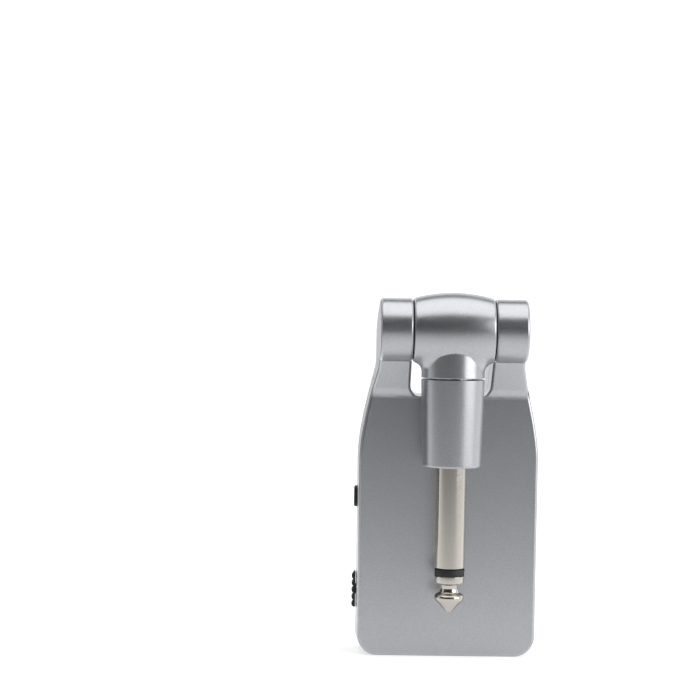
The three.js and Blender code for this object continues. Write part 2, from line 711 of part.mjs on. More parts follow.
function addPlugArm(group) {
  addPiece(group, "hinge_barrel", hingeBarrel(), silverPaint);
  addPiece(group, "plug_sleeve", plugSleeve(), silverPaint);
  addPiece(group, "plug_shaft", plugShaft(), nickel);
  const insulator = ring(ROD_RADIUS + 0.15, SHAFT_RADIUS - 0.05, SHAFT_END + 0.05, RING_END - 0.05);
  addPiece(group, "insulator_ring", insulator, blackPlastic);
  addPiece(group, "plug_tip", plugTip(), nickel);
  const tube = ring(ROD_RADIUS + 0.2, SHAFT_BORE - 0.25, SHAFT_START + 0.2, SHAFT_END - 0.2, SMALL_ROUND);
  addPiece(group, "insulator_tube", tube, whitePlastic);
  const nutOuter = SLEEVE_BORE - 0.2;
  const nut = ring(SHAFT_RADIUS + 0.25, nutOuter, FLANGE_AT - 2.2, FLANGE_AT - 0.2, 24);
  addPiece(group, "clamp_nut", nut, brass);
  const washer = ring(ROD_RADIUS + 0.2, 3, SHAFT_START - 0.9, SHAFT_START - 0.2, SMALL_ROUND);
  addPiece(group, "insulating_washer", washer, blackPlastic);

  // a ring with a soldering tag that stands up towards the hinge, its hole fitting the given radius
  const terminal = (inner, outer, at, tagX) => {
    const tag = box(tagX - 0.6, tagX + 0.6, -0.7, 0.7, at - 4, at + 0.2);
    const hole = rod(inner, at - 5, at + 1, SMALL_ROUND);
    return cut(join(ring(inner, outer, at, at + 0.4, SMALL_ROUND), tag), hole);
  };
  addPiece(group, "tip_terminal", terminal(ROD_RADIUS + 0.15, 2.5, SHAFT_START - 1.6, -1.8), brass);
  addPiece(group, "ground_terminal", terminal(SHAFT_RADIUS + 0.2, 4.4, SHAFT_START + 1.3, 3.95), brass);

  // each wire runs from its terminal to the hinge axis, where the body's length of it begins
  const meet = PIVOT_REACH - 0.4;
  const signalPath = [
    [-1.8, -0.9, SHAFT_START - 5.8],
    [-1.6, -1.2, 12],
    [-0.8, -1, 7],
    [0.6, -0.7, 2.2],
    [meet, -0.5, 0],
  ];
  const groundPath = [
    [3.6, 1.3, SHAFT_START - 2.9],
    [3.3, 1.5, 13],
    [2.2, 1.2, 7],
    [1.6, 0.8, 2.6],
    [meet, 0.5, 0],
  ];
  addPiece(group, "signal_wire_arm", wire(signalPath, WIRE_RADIUS), redInsulation);
  addPiece(group, "ground_wire_arm", wire(groundPath, WIRE_RADIUS), blackInsulation);
}

// The wires' lengths inside the body: out through the hollow bush, down the ear and on to the board.
function addBodyWires(group) {
  const path = (side, boardX) => [
    [PIVOT_REACH - 0.1, HINGE_Y + 0.5 * side, HINGE_Z],
    [9, HINGE_Y + 0.5 * side, HINGE_Z],
    [12, HINGE_Y + 0.5 * side, HINGE_Z],
    [13, HINGE_Y + 0.7 + 0.6 * side, HINGE_Z - 0.8],
    [13, HINGE_Y + 3.6 + 0.6 * side, HINGE_Z - 3.8],
    [12.6, HINGE_Y + 6 + 0.6 * side, HINGE_Z - 7],
    [12.4, -3.6 + 0.6 * side, 57],
    [boardX, 0.2 + 0.6 * side, 51],
    [boardX, BOARD_FRONT + 0.6, 47.5],
  ];
  addPiece(group, "signal_wire_body", wire(path(-1, 10.6), WIRE_RADIUS), redInsulation);
  addPiece(group, "ground_wire_body", wire(path(1, 12.2), WIRE_RADIUS), blackInsulation);
}

// ---------------------------------------------------------------- assembly

const transmitter = new THREE.Group();
const housing = new THREE.Group();
const plugArm = new THREE.Group();
transmitter.add(housing, plugArm);

const whole = hollowBody();
addPiece(housing, "front_shell", frontShell(whole), silverPaint);
addPiece(housing, "rear_shell", rearShell(whole), silverPaint);
addElectronics(housing);
addSwitches(housing);
addPivots(housing);
addBodyWires(housing);
addPiece(transmitter, "pair_button", pairButton(), blackPlastic);
addPiece(transmitter, "power_slider", powerSlider(), blackPlastic);

addPlugArm(plugArm);
plugArm.position.set(0, HINGE_Y, HINGE_Z);
plugArm.rotation.x = Math.PI;

export default transmitter;
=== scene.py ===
import json
import math

import bmesh
import bpy
import numpy as np
from mathutils import Matrix, Vector


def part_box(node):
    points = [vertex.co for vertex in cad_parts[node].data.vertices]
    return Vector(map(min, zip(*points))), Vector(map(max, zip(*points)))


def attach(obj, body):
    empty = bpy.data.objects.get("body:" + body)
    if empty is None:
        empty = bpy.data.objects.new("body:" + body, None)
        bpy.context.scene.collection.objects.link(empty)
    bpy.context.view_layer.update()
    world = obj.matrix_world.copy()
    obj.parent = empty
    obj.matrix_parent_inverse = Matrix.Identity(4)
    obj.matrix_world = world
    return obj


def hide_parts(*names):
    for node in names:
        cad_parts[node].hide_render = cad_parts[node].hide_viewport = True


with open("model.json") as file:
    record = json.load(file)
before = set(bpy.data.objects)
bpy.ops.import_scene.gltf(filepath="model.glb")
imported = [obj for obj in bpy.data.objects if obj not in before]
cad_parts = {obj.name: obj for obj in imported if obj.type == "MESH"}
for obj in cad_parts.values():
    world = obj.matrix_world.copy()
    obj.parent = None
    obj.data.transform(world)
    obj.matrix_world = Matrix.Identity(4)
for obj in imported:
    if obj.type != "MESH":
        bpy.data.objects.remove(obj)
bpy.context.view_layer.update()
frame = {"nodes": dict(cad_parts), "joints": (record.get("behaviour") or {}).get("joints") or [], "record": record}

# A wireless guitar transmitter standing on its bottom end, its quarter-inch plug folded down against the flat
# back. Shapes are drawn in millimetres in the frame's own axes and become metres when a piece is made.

# ---- sizes, in millimetres

MM = 0.001


def node_box(name):
    low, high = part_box(name)
    return low / MM, high / MM


joints = {joint["name"]: joint for joint in frame["joints"]}
HINGE = Vector(joints["plug_fold"]["pos_m"]) / MM
front_high = node_box("front_shell")[1]


def arm_span(node):
    """How far down the folded arm a node starts and ends, measured from the hinge axis."""
    low, high = node_box(node)
    return HINGE.z - high.z, HINGE.z - low.z


button_low, button_high = node_box("pair_button")
slider_low, slider_high = node_box("power_slider")
socket_low, socket_high = node_box("charge_socket")
tongue_low, tongue_high = node_box("socket_tongue")
pipe_low, pipe_high = node_box("light_pipe")

HALF_WIDTH = front_high.x
FRONT = front_high.y
BACK = -FRONT
TOP = front_high.z
WALL = 1.5
CORNER = 4.4  # radius of the bottom corners seen from the front
SIDE_TAPER = 0.1  # how far each side leans in from the shoulder down to the corner
SHOULDER_LOW = 41.8
SHOULDER_HIGH = 61.6
SHOULDER_BULGE = 1.15  # how far outside the ear the shoulder's curve is drawn
SHOULDER_BLUR = 0.9  # half the height over which the shoulder's curve is evened out
EAR = 15.55  # half the width across the ears
NOTCH = 9.1  # half the width of the notch, level with the hinge
NOTCH_DRAW = 0.65  # how far each side of the notch draws in at the front face
NOTCH_FLOOR = 55.2
NOTCH_CORNER = 2.4
KNUCKLE = TOP - HINGE.z  # radius of the knuckles
FRONT_CURVE = 56.4  # where the front face starts to curve back
RAMP_FOOT = 56.1
RAMP_ANGLE = math.radians(280.5)  # from the hinge, where the ramp would meet the knuckle
CREASE_FILLET = 0.3
FOOT_RADIUS = 1.3 / 0.36  # rounding between the ramp and the flat back
RIM = 0.65  # rounding of the outer edges
PARTING = 1  # the seam's place along Y
PARTING_BEND = 50  # where the seam bends towards the hinge
SEAM = 0.24  # gap between the shells
LIP_TOP = 49

# ---- meshes


def add_object(name, data):
    obj = bpy.data.objects.new(name, data)
    bpy.context.scene.collection.objects.link(obj)
    return obj


def make_object(name, vertices, faces):
    """A new object from millimetre points and faces."""
    mesh = bpy.data.meshes.new(name)
    points = [tuple(float(c) * MM for c in v) for v in vertices]
    mesh.from_pydata(points, [], [tuple(map(int, f)) for f in faces])
    mesh.validate()
    mesh.shade_smooth()
    return add_object(name, mesh)


def face_outwards(obj):
    work = bmesh.new()
    work.from_mesh(obj.data)
    bmesh.ops.recalc_face_normals(work, faces=work.faces)
    work.to_mesh(obj.data)
    work.free()
    return obj


def loft(name, rings):
    """A closed solid through rings of equally many points, with a flat cap on the first and last ring."""
    count = len(rings[0])
    vertices = [point for ring in rings for point in ring]
    faces = [tuple(range(count)), tuple(range((len(rings) - 1) * count, len(rings) * count))]
    for layer in range(len(rings) - 1):
        for i in range(count):
            j = (i + 1) % count
            base, above = layer * count, (layer + 1) * count
            faces.append((base + i, base + j, above + j, above + i))
    return face_outwards(make_object(name, vertices, faces))


def extrude(name, outline, low, high, axis):
    """A straight prism from low to high along an axis, from (y, z), (x, z) or (x, y) points for X, Y or Z."""
    slot = "XYZ".index(axis)
    rings = [[(*point[:slot], place, *point[slot:]) for point in outline] for place in (low, high)]
    return loft(name, rings)


ON_AXIS = 1e-6  # a smaller radius counts as a point on the axis
TURN_FROM_Z = {
    "X": Matrix.Rotation(math.pi / 2, 3, "Y"),
    "Y": Matrix.Rotation(-math.pi / 2, 3, "X"),
    "Z": Matrix.Identity(3),
}


def turned(name, profile, axis, centre, sides):
    """A profile of (radius, place) pairs turned about an axis through centre. It starts and ends on the
    axis, or closes on itself."""
    closed = profile[0] == profile[-1]
    points = profile[:-1] if closed else profile
    vertices, rows = [], []
    for radius, place in points:
        if radius < ON_AXIS:
            rows.append([len(vertices)] * sides)
            vertices.append((0, 0, place))
            continue
        rows.append(list(range(len(vertices), len(vertices) + sides)))
        for k in range(sides):
            angle = 2 * math.pi * k / sides
            vertices.append((radius * math.cos(angle), radius * math.sin(angle), place))
    faces = []
    pairs = len(rows) if closed else len(rows) - 1
    for r in range(pairs):
        low, high = rows[r], rows[(r + 1) % len(rows)]
        for k in range(sides):
            corners = [low[k], low[(k + 1) % sides], high[(k + 1) % sides], high[k]]
            face = list(dict.fromkeys(corners))
            if len(face) > 2:
                faces.append(face)
    moved = [TURN_FROM_Z[axis] @ Vector(v) + Vector(centre) for v in vertices]
    return face_outwards(make_object(name, moved, faces))


def rod(name, radius, low, high, axis, centre, sides=32):
    return turned(name, [(0, low), (radius, low), (radius, high), (0, high)], axis, centre, sides)


def arc(centre, radius, start, end, steps):
    """Points on an arc, from angle start to angle end in radians, both included."""
    angles = [start + (end - start) * i / steps for i in range(steps + 1)]
    return [(centre[0] + radius * math.cos(a), centre[1] + radius * math.sin(a)) for a in angles]


SIDE_SHARE = 0.49  # the most of a side that one rounded corner takes


def soften(points, radii, steps=5):
    """An open or closed path with its corners rounded. radii holds one radius for each point, 0 to keep it
    sharp."""
    closed = points[0] == points[-1]
    core = points[:-1] if closed else points
    made = []
    for i, (point, radius) in enumerate(zip(core, radii)):
        ends = not closed and i in (0, len(core) - 1)
        if radius <= 0 or ends:
            made.append(tuple(point))
            continue
        here = Vector(point)
        before = Vector(core[i - 1]) - here
        after = Vector(core[(i + 1) % len(core)]) - here
        half = before.angle(after) / 2
        reach = min(radius / math.tan(half), SIDE_SHARE * before.length, SIDE_SHARE * after.length)
        first = here + before.normalized() * reach
        last = here + after.normalized() * reach
        for k in range(steps + 1):
            t = k / steps
            curve = first * (1 - t) ** 2 + here * 2 * t * (1 - t) + last * t * t
            made.append((curve.x, curve.y))
    if closed:
        made.append(made[0])
    return made


def apply_modifiers(obj):
    graph = bpy.context.evaluated_depsgraph_get()
    mesh = bpy.data.meshes.new_from_object(obj.evaluated_get(graph), depsgraph=graph)
    obj.modifiers.clear()
    obj.data = mesh
    return obj


def combine(obj, operation, *others):
    """Boolean of obj with the others, which are used up."""
    for other in others:
        boolean = obj.modifiers.new("boolean", "BOOLEAN")
        boolean.operation = operation
        boolean.solver = "EXACT"
        boolean.object = other
        apply_modifiers(obj)
        bpy.data.objects.remove(other)
    return obj


def cut(obj, *tools):
    return combine(obj, "DIFFERENCE", *tools)


def tidy_mesh(obj, angle=0.05, weld=0.002):
    """Welds stray doubles and melts edges between flat neighbours."""
    work = bmesh.new()
    work.from_mesh(obj.data)
    bmesh.ops.remove_doubles(work, verts=work.verts, dist=weld * MM)
    bmesh.ops.dissolve_degenerate(work, dist=weld * MM, edges=work.edges)
    bmesh.ops.dissolve_limit(
        work, angle_limit=math.radians(angle), use_dissolve_boundaries=False, verts=work.verts,
        edges=work.edges,
    )
    work.to_mesh(obj.data)
    work.free()
    return obj


def add_bevel(obj, width, angle, steps):
    bevel = obj.modifiers.new("bevel", "BEVEL")
    bevel.width = width * MM
    bevel.segments = steps
    bevel.limit_method = "ANGLE"
    bevel.angle_limit = math.radians(angle)
    return bevel


def round_edges(obj, width, angle=40, steps=2):
    bevel = add_bevel(obj, width, angle, steps)
    bevel.use_clamp_overlap = False
    bevel.miter_outer = "MITER_SHARP"
    return apply_modifiers(obj)


def shade(obj, angle=40):
    """Smooth shading with crisp edges above the angle, flats kept flat."""
    obj.data.shade_smooth()
    obj.data.set_sharp_from_angle(angle=math.radians(angle))
    weighted = obj.modifiers.new("weighted", "WEIGHTED_NORMAL")
    weighted.keep_sharp = True
    weighted.weight = 60
    return apply_modifiers(obj)


def box(name, low, high):
    corners = [(x, y, z) for z in (low[2], high[2]) for y in (low[1], high[1]) for x in (low[0], high[0])]
    faces = [(0, 1, 3, 2), (4, 5, 7, 6), (0, 1, 5, 4), (2, 3, 7, 6), (0, 2, 6, 4), (1, 3, 7, 5)]
    return face_outwards(make_object(name, corners, faces))


# ---- body form

def bezier(points, t):
    a, b, c, d = (np.array(p, float) for p in points)
    t = np.asarray(t, float)[:, None]
    return a * (1 - t) ** 3 + 3 * b * t * (1 - t) ** 2 + 3 * c * t * t * (1 - t) + d * t ** 3


def half_width(z):
    """Half the body's width at a height above the bottom corners."""
    rise = SHOULDER_HIGH - SHOULDER_LOW
    curve = bezier(
        [(HALF_WIDTH, SHOULDER_LOW), (HALF_WIDTH, SHOULDER_LOW + 0.3 * rise),
         (EAR + SHOULDER_BULGE, SHOULDER_HIGH - 0.24 * rise), (EAR, SHOULDER_HIGH)],
        np.linspace(0, 1, 200),
    )
    window = np.linspace(-SHOULDER_BLUR, SHOULDER_BLUR, 13)
    return float(np.mean(np.interp(z + window, curve[:, 1], curve[:, 0])))


SHOULDER_LEVELS = list(np.linspace(SHOULDER_LOW - 1, SHOULDER_HIGH + 1.2, 34))


def side_x(z):
    """The -X wall's outer face at a height on the straight part of the side."""
    return -HALF_WIDTH + SIDE_TAPER * (SHOULDER_LOW - z) / (SHOULDER_LOW - CORNER)


def front_outline(inset):
    """The body seen from the front, as (x, z) points running anticlockwise, past the top."""
    right = arc((HALF_WIDTH - SIDE_TAPER - CORNER, CORNER), CORNER - inset, -math.pi / 2, 0, 16)
    for z in SHOULDER_LEVELS:
        right.append((half_width(z) - inset, z))
    right.append((EAR - inset, TOP + 4))
    left = [(-x, z) for x, z in reversed(right)]
    return right + left


def knuckle_to_ramp(inset):
    """The path from the knuckle round the crease and down the ramp to the flat back, as (y, z) points."""
    hinge = Vector((HINGE.y, HINGE.z))
    ramp_top = hinge + KNUCKLE * Vector((math.cos(RAMP_ANGLE), math.sin(RAMP_ANGLE)))
    along = (Vector((BACK, RAMP_FOOT)) - ramp_top).normalized()
    outward = Vector((along.y, -along.x))
    start = ramp_top - outward * inset
    radius = KNUCKLE - inset
    fillet = CREASE_FILLET + inset
    offset = start + outward * fillet - hinge
    reach = offset.dot(along)
    slide = math.sqrt(reach ** 2 - offset.length_squared + (radius + fillet) ** 2) - reach
    centre = hinge + offset + along * slide
    towards = centre - hinge
    leave = math.atan2(towards.y, towards.x) + 2 * math.pi
    knuckle = arc(hinge, radius, math.pi / 2, leave, 52)
    begin = leave - math.pi
    end = math.atan2(-outward.y, -outward.x)
    while end > begin:
        end -= 2 * math.pi
    crease = arc(centre, fillet, begin, end, 8)
    back = BACK + inset
    foot = start + along * ((back - start.x) / along.x)
    bend = soften([crease[-1], tuple(foot), (back, 20)], [0, FOOT_RADIUS, 0], steps=10)
    return knuckle + crease[1:] + bend[1:-1] + [(back, -3 + inset)]


def side_outline(inset):
    """The body seen from the side, as (y, z) points running anticlockwise from the foot of the front face."""
    front = FRONT - inset
    reach = front - HINGE.y
    rise = TOP - inset - FRONT_CURVE
    sweep = []
    for z in SHOULDER_LEVELS:
        if z > FRONT_CURVE + 0.2:
            sweep.append(math.asin((z - FRONT_CURVE) / rise))
    sweep += list(np.linspace(sweep[-1], math.pi / 2, 34))[1:]
    points = [(front, -3 + inset), (front, FRONT_CURVE)]
    points += [(HINGE.y + reach * math.cos(a), FRONT_CURVE + rise * math.sin(a)) for a in sweep]
    return points + knuckle_to_ramp(inset)[1:]


def prism_along_y(name, inset):
    """The front outline as a solid that draws in a little away from the parting line, as a moulding does."""
    layers = [(HINGE.y - 12, 0.25), (BACK, 0.25), (PARTING, 0), (FRONT, 0.2), (FRONT + 4, 0.34)]
    rings = []
    for y, draft in layers:
        share = 1 - draft / HALF_WIDTH
        rings.append([(x * share, y, z) for x, z in front_outline(inset)])
    return loft(name, rings)


def notch_cutter(grow):
    half = NOTCH + grow
    floor = NOTCH_FLOOR - grow
    radius = NOTCH_CORNER + grow
    above = TOP + 6
    path = [(-half, above)]
    path += arc((-half + radius, floor + radius), radius, math.pi, 1.5 * math.pi, 12)
    path += arc((half - radius, floor + radius), radius, 1.5 * math.pi, 2 * math.pi, 12)
    path.append((half, above))
    rings = []
    for y in (HINGE.y - 14, FRONT + 6):
        draw = NOTCH_DRAW * (y - HINGE.y) / (FRONT - HINGE.y)
        rings.append([(x - math.copysign(draw, x), y, z) for x, z in path])
    return loft("notch_cutter", rings)


def body_form(name, inset):
    body = prism_along_y(name, inset)
    reach = HALF_WIDTH + 5
    combine(body, "INTERSECT", extrude("side", side_outline(inset), -reach, reach, "X"))
    cut(body, notch_cutter(inset))
    return tidy_mesh(body, angle=0.4, weld=0.004)


def half_space(side):
    """Everything on one side of the seam: side is 1 for the front and -1 for the rear."""
    y_shift = side * SEAM / 2
    z_shift = side * SEAM / 4
    seam_curve = bezier(
        [(PARTING, PARTING_BEND), (PARTING, PARTING_BEND + 8), (HINGE.y + 5.7, HINGE.z - 3.4),
         (HINGE.y, HINGE.z)],
        np.linspace(0, 1, 25),
    )
    below, above, far = -6, TOP + 6, side * 60
    path = [(PARTING, below)] + [tuple(p) for p in seam_curve] + [(HINGE.y, above)]
    path = [(y + y_shift, z + z_shift) for y, z in path]
    reach = HALF_WIDTH + 6
    return extrude("half_space", [(far, below)] + path + [(far, above)], -reach, reach, "X")


# ---- shells


def round_rectangle(centre, width, height, radius, steps=8):
    """A rounded rectangle as (u, v) points running anticlockwise."""
    points = []
    for sign_u, sign_v, start in ((1, -1, -90), (1, 1, 0), (-1, 1, 90), (-1, -1, 180)):
        corner = (centre[0] + sign_u * (width / 2 - radius), centre[1] + sign_v * (height / 2 - radius))
        points += arc(corner, radius, math.radians(start), math.radians(start + 90), steps)
    return points


BUTTON_PLACE = (PARTING, (button_low.z + button_high.z) / 2)
CAP_SIZE = (2.6, 4.5)
SLIDER_WIDTH = slider_high.y - slider_low.y
SLIDER_PLACE = (PARTING, (slider_low.z + slider_high.z) / 2)
STEM_SIZE = (1.6, 2.2)
SLIDER_TRAVEL = 2
SLOT_CLEARANCE = 0.16
SOCKET_PLACE = ((socket_low.x + socket_high.x) / 2, (socket_low.y + socket_high.y) / 2)
SOCKET_SIZE = (socket_high.x - socket_low.x, socket_high.y - socket_low.y)
SOCKET_PLATE = 0.3
PIPE_PLACE = ((pipe_low.x + pipe_high.x) / 2, (pipe_low.y + pipe_high.y) / 2)
PIPE_RADIUS = (pipe_high.x - pipe_low.x) / 2
PIVOT_HOLE = 2.3


def socket_outline(grow, tuck=0.001):
    """The charging socket's long round outline, moved out by grow. Its end radius is less than half its
    height by tuck, so that no two points coincide."""
    width, height = (size + 2 * grow for size in SOCKET_SIZE)
    return round_rectangle(SOCKET_PLACE, width, height, height / 2 - tuck, 14)


def wall_openings():
    """The holes in the side wall and the bottom end."""
    outside, inside = -HALF_WIDTH - 1, -HALF_WIDTH + WALL + 1
    gap = 2 * SLOT_CLEARANCE
    cap = round_rectangle(BUTTON_PLACE, CAP_SIZE[0] + gap, CAP_SIZE[1] + gap, 1.1)
    stem_middle = (SLIDER_PLACE[0], SLIDER_PLACE[1] + SLIDER_TRAVEL / 2)
    stem = round_rectangle(stem_middle, STEM_SIZE[0] + gap, STEM_SIZE[1] + SLIDER_TRAVEL + gap, 0.4)
    return [
        extrude("button_hole", cap, outside, inside, "X"),
        extrude("slider_hole", stem, outside, inside, "X"),
        extrude("socket_hole", socket_outline(0.25, 0.0001), -1, WALL + 1, "Z"),
        rod("light_hole", PIPE_RADIUS + 0.2, -1, WALL + 1, "Z", (*PIPE_PLACE, 0)),
    ]


def lip_band(name, set_in, y_low, y_high, top):
    """A solid with the body's front outline, set in from it and cut off level at the top."""
    outline = [(x, z) for x, z in front_outline(set_in) if z < top]
    right = [p for p in outline if p[0] > 0]
    left = [p for p in outline if p[0] < 0]
    edge = half_width(top) - set_in
    closed = right + [(edge, top), (-edge, top)] + left
    return extrude(name, closed, y_low, y_high, "Y")


LIP_HEIGHT = 1.5
LIP_SET_IN = 0.9
LIP_PLAY = 0.3
SCREW_PLACES = [(x, z) for x in (-14, 14) for z in (6.4, 45.5)]
POST_RADIUS = 1.8
POST_BORE = 1
POST_TOP = -2.15


def screw_posts(radius, low, high):
    return [rod("post", radius, low, high, "Y", (x, 0, z)) for x, z in SCREW_PLACES]


def make_shells():
    """The front and rear shells: one rounded hollow body, parted along the seam."""
    whole = body_form("whole_body", 0)
    round_edges(whole, RIM, 30, 4)
    tidy_mesh(whole)
    pivot_holes = rod("pivot_holes", PIVOT_HOLE, -11, 11, "X", (0, HINGE.y, HINGE.z), 48)
    cut(whole, body_form("body_inside", WALL), pivot_holes, *wall_openings())
    front = add_object("front_shell_visual", whole.data.copy())
    rear = add_object("rear_shell_visual", whole.data.copy())
    bpy.data.objects.remove(whole)
    combine(front, "INTERSECT", half_space(1))
    rebate_end = PARTING + LIP_HEIGHT + LIP_PLAY
    cut(front, lip_band("rebate", LIP_SET_IN - LIP_PLAY, PARTING - 1, rebate_end, LIP_TOP + LIP_PLAY))
    combine(rear, "INTERSECT", half_space(-1))
    lip = lip_band("lip", LIP_SET_IN, PARTING - 1.2, PARTING + LIP_HEIGHT, LIP_TOP)
    cut(lip, lip_band("lip_inside", WALL, PARTING - 2, PARTING + 5, LIP_TOP + 1), *wall_openings())
    combine(rear, "UNION", lip, *screw_posts(POST_RADIUS, BACK + WALL - 0.5, POST_TOP))
    cut(rear, *screw_posts(POST_BORE, BACK + WALL, 0))
    for shell in (front, rear):
        tidy_mesh(shell)
        shade(shell, 32)
    return front, rear


# ---- hinge barrel


def surface_net(name, distance, low, high, cell):
    """A smooth closed surface where distance(x, y, z) is zero, its vertices pulled onto it and shaded by its
    slope."""
    axes = [np.arange(a, b + cell, cell) for a, b in zip(low, high)]
    inside = distance(*np.meshgrid(*axes, indexing="ij")) < 0
    shape = tuple(n - 1 for n in inside.shape)
    count = np.zeros(shape, int)
    for i, j, k in np.ndindex(2, 2, 2):
        count += inside[i:i + shape[0], j:j + shape[1], k:k + shape[2]]
    mixed = (count > 0) & (count < 8)
    index = np.full(shape, -1)
    index[mixed] = np.arange(mixed.sum())
    points = np.array(low) + (np.argwhere(mixed) + 0.5) * cell

    def slope(at):
        step = 0.02
        sides = []
        for shift in np.eye(3) * step:
            sides.append((distance(*(at + shift).T) - distance(*(at - shift).T)) / (2 * step))
        return np.stack(sides, axis=1)

    for _ in range(8):
        gradient = slope(points)
        size = np.maximum((gradient ** 2).sum(axis=1), 0.2)
        move = np.clip(distance(*points.T) / size, -cell / 2, cell / 2)
        points -= gradient * move[:, None]
    faces = []
    for axis in range(3):
        u, v = (axis + 1) % 3, (axis + 2) % 3
        ahead = np.take(inside, range(1, inside.shape[axis]), axis)
        here = np.take(inside, range(inside.shape[axis] - 1), axis)
        where = np.argwhere(here != ahead)
        leaving = here[tuple(where.T)]
        quad = []
        for back_u, back_v in ((1, 1), (0, 1), (0, 0), (1, 0)):
            cells = where.copy()
            cells[:, u] -= back_u
            cells[:, v] -= back_v
            quad.append(index[tuple(cells.T)])
        quad = np.stack(quad, axis=1)
        quad[~leaving] = quad[~leaving][:, ::-1]
        faces.append(quad)
    obj = make_object(name, points, np.concatenate(faces))
    normals = slope(points)
    normals /= np.linalg.norm(normals, axis=1)[:, None]
    obj.data.normals_split_custom_set_from_vertices([tuple(n) for n in normals])
    return obj


def rounded_meeting(a, b, radius):
    """Where two solids overlap, with a rounded edge."""
    a, b = a + radius, b + radius
    return np.minimum(np.maximum(a, b), 0) + np.hypot(np.maximum(a, 0), np.maximum(b, 0)) - radius


def blended_join(a, b, reach):
    """Two solids as one, with a fillet in the corner between them."""
    near = np.maximum(reach - np.abs(a - b), 0) / reach
    return np.minimum(a, b) - near * near * reach / 4


BARREL_HALF = node_box("hinge_barrel")[1].x
BARREL_END_RADIUS = 6.65
BARREL_CROWN = 1.2
BARREL_EDGE = 0.45
NECK_RADIUS = 6.6
NECK_THINNING = 0.022  # how much thinner the neck is, front to back, by the barrel
THINNING_REACH = 5.3  # how far from its end the neck is that much thinner
NECK_END = arm_span("hinge_barrel")[1]
NECK_EDGE = 0.06
BLEND_START, BLEND_REACH = 2.8, 3.4  # across X, where the neck's crease starts to widen into a fillet
BLEND_LEAST, BLEND_MORE = 0.12, 1.6
ROOM_RADIUS = 4.6
ROOM_MIDDLE, ROOM_HALF = 5, 7.6  # the room for the wires, along the neck from the hinge
PIVOT_BORE = 2.12


def barrel_distance(x, y, z):
    """The crowned barrel across the hinge axis, flowing into the neck that carries the plug."""
    across, down = y - HINGE.y, HINGE.z - z
    share = np.clip(np.abs(x) / BARREL_HALF, 0, 1)
    from_axis = np.hypot(across, down)
    drum = rounded_meeting(
        from_axis - BARREL_END_RADIUS - BARREL_CROWN * (1 - share ** 2), np.abs(x) - BARREL_HALF, BARREL_EDGE,
    )
    depth = 1 - NECK_THINNING * np.clip((NECK_END - down) / THINNING_REACH, 0, 1.4)
    neck = rounded_meeting(
        np.hypot(x, across / depth) - NECK_RADIUS, np.abs(down - NECK_END / 2) - NECK_END / 2, NECK_EDGE,
    )
    to_side = np.clip((np.abs(x) - BLEND_START) / BLEND_REACH, 0, 1)
    outside = blended_join(drum, neck, BLEND_LEAST + BLEND_MORE * to_side * to_side * (3 - 2 * to_side))
    room = np.maximum(np.hypot(x, across) - ROOM_RADIUS, np.abs(down - ROOM_MIDDLE) - ROOM_HALF)
    bore = from_axis - PIVOT_BORE
    return np.maximum(outside, np.maximum(-room, -bore))


def make_barrel(name):
    low = (-BARREL_HALF - 0.5, HINGE.y - 8, HINGE.z - NECK_END - 0.5)
    high = (BARREL_HALF + 0.5, HINGE.y + 8, HINGE.z + 8)
    return surface_net(name, barrel_distance, low, high, 0.2)


# ---- plug


def on_arm(name, profile, sides=112):
    """A turned part of the folded plug, its places measured down from the hinge axis."""
    downwards = [(radius, HINGE.z - place) for radius, place in profile]
    return shade(turned(name, downwards, "Z", (0, HINGE.y, 0), sides))


def ring_profile(inner, outer, low, high, outer_round, inner_round):
    corners = [(inner, low), (outer, low), (outer, high), (inner, high), (inner, low)]
    return soften(corners, [inner_round, outer_round, outer_round, inner_round], steps=3)


SLEEVE_START, SLEEVE_END = arm_span("plug_sleeve")
SLEEVE_TOP_RADIUS = 6.62
SLEEVE_END_RADIUS = 6.2
SLEEVE_BORE = 4.9
SHAFT_RADIUS = 3.175
SHAFT_START, SHAFT_END = arm_span("plug_shaft")
SHAFT_BORE = 2.2
RING_START, RING_END = arm_span("insulator_ring")
ROD_START, TIP_END = arm_span("plug_tip")
TIP_START = RING_END + 0.1
ROD_RADIUS = 0.9
TIP_RADIUS = 3.12


def make_sleeve(name):
    """The tapered sleeve, with a thin lip that locates it in the neck."""
    floor = SLEEVE_END - 1.5
    hole = SHAFT_RADIUS + 0.2
    lip_outer, lip_inner = ROOM_RADIUS - 0.35, ROOM_RADIUS - 0.6
    lip_start, ledge = SLEEVE_START - 1.2, SLEEVE_START + 0.9
    corners = [
        (lip_inner, lip_start), (lip_outer, lip_start), (lip_outer, SLEEVE_START),
        (SLEEVE_TOP_RADIUS, SLEEVE_START), (SLEEVE_END_RADIUS, SLEEVE_END), (hole, SLEEVE_END), (hole, floor),
        (SLEEVE_BORE, floor), (SLEEVE_BORE, ledge), (lip_inner, ledge), (lip_inner, lip_start),
    ]
    radii = [0.05, 0.08, 0, 0.06, 0.5, 0.2, 0, 0, 0, 0]
    return on_arm(name, soften(corners, radii, steps=7))


def make_shaft(name):
    """The plug's hollow shaft, with the flange that holds it in the sleeve."""
    flange = SLEEVE_END - 2.8
    flange_end = flange + 1
    flange_radius = SLEEVE_BORE - 0.3
    corners = [
        (SHAFT_BORE, SHAFT_START), (SHAFT_RADIUS, SHAFT_START), (SHAFT_RADIUS, flange),
        (flange_radius, flange), (flange_radius, flange_end), (SHAFT_RADIUS, flange_end),
        (SHAFT_RADIUS, SHAFT_END), (SHAFT_BORE, SHAFT_END), (SHAFT_BORE, SHAFT_START),
    ]
    return on_arm(name, soften(corners, [0.1, 0.15, 0, 0.15, 0.15, 0, 0.14, 0.05], steps=4))


def make_ring(name):
    profile = ring_profile(ROD_RADIUS + 0.15, SHAFT_RADIUS - 0.05, RING_START, RING_END, 0.08, 0)
    return on_arm(name, profile)


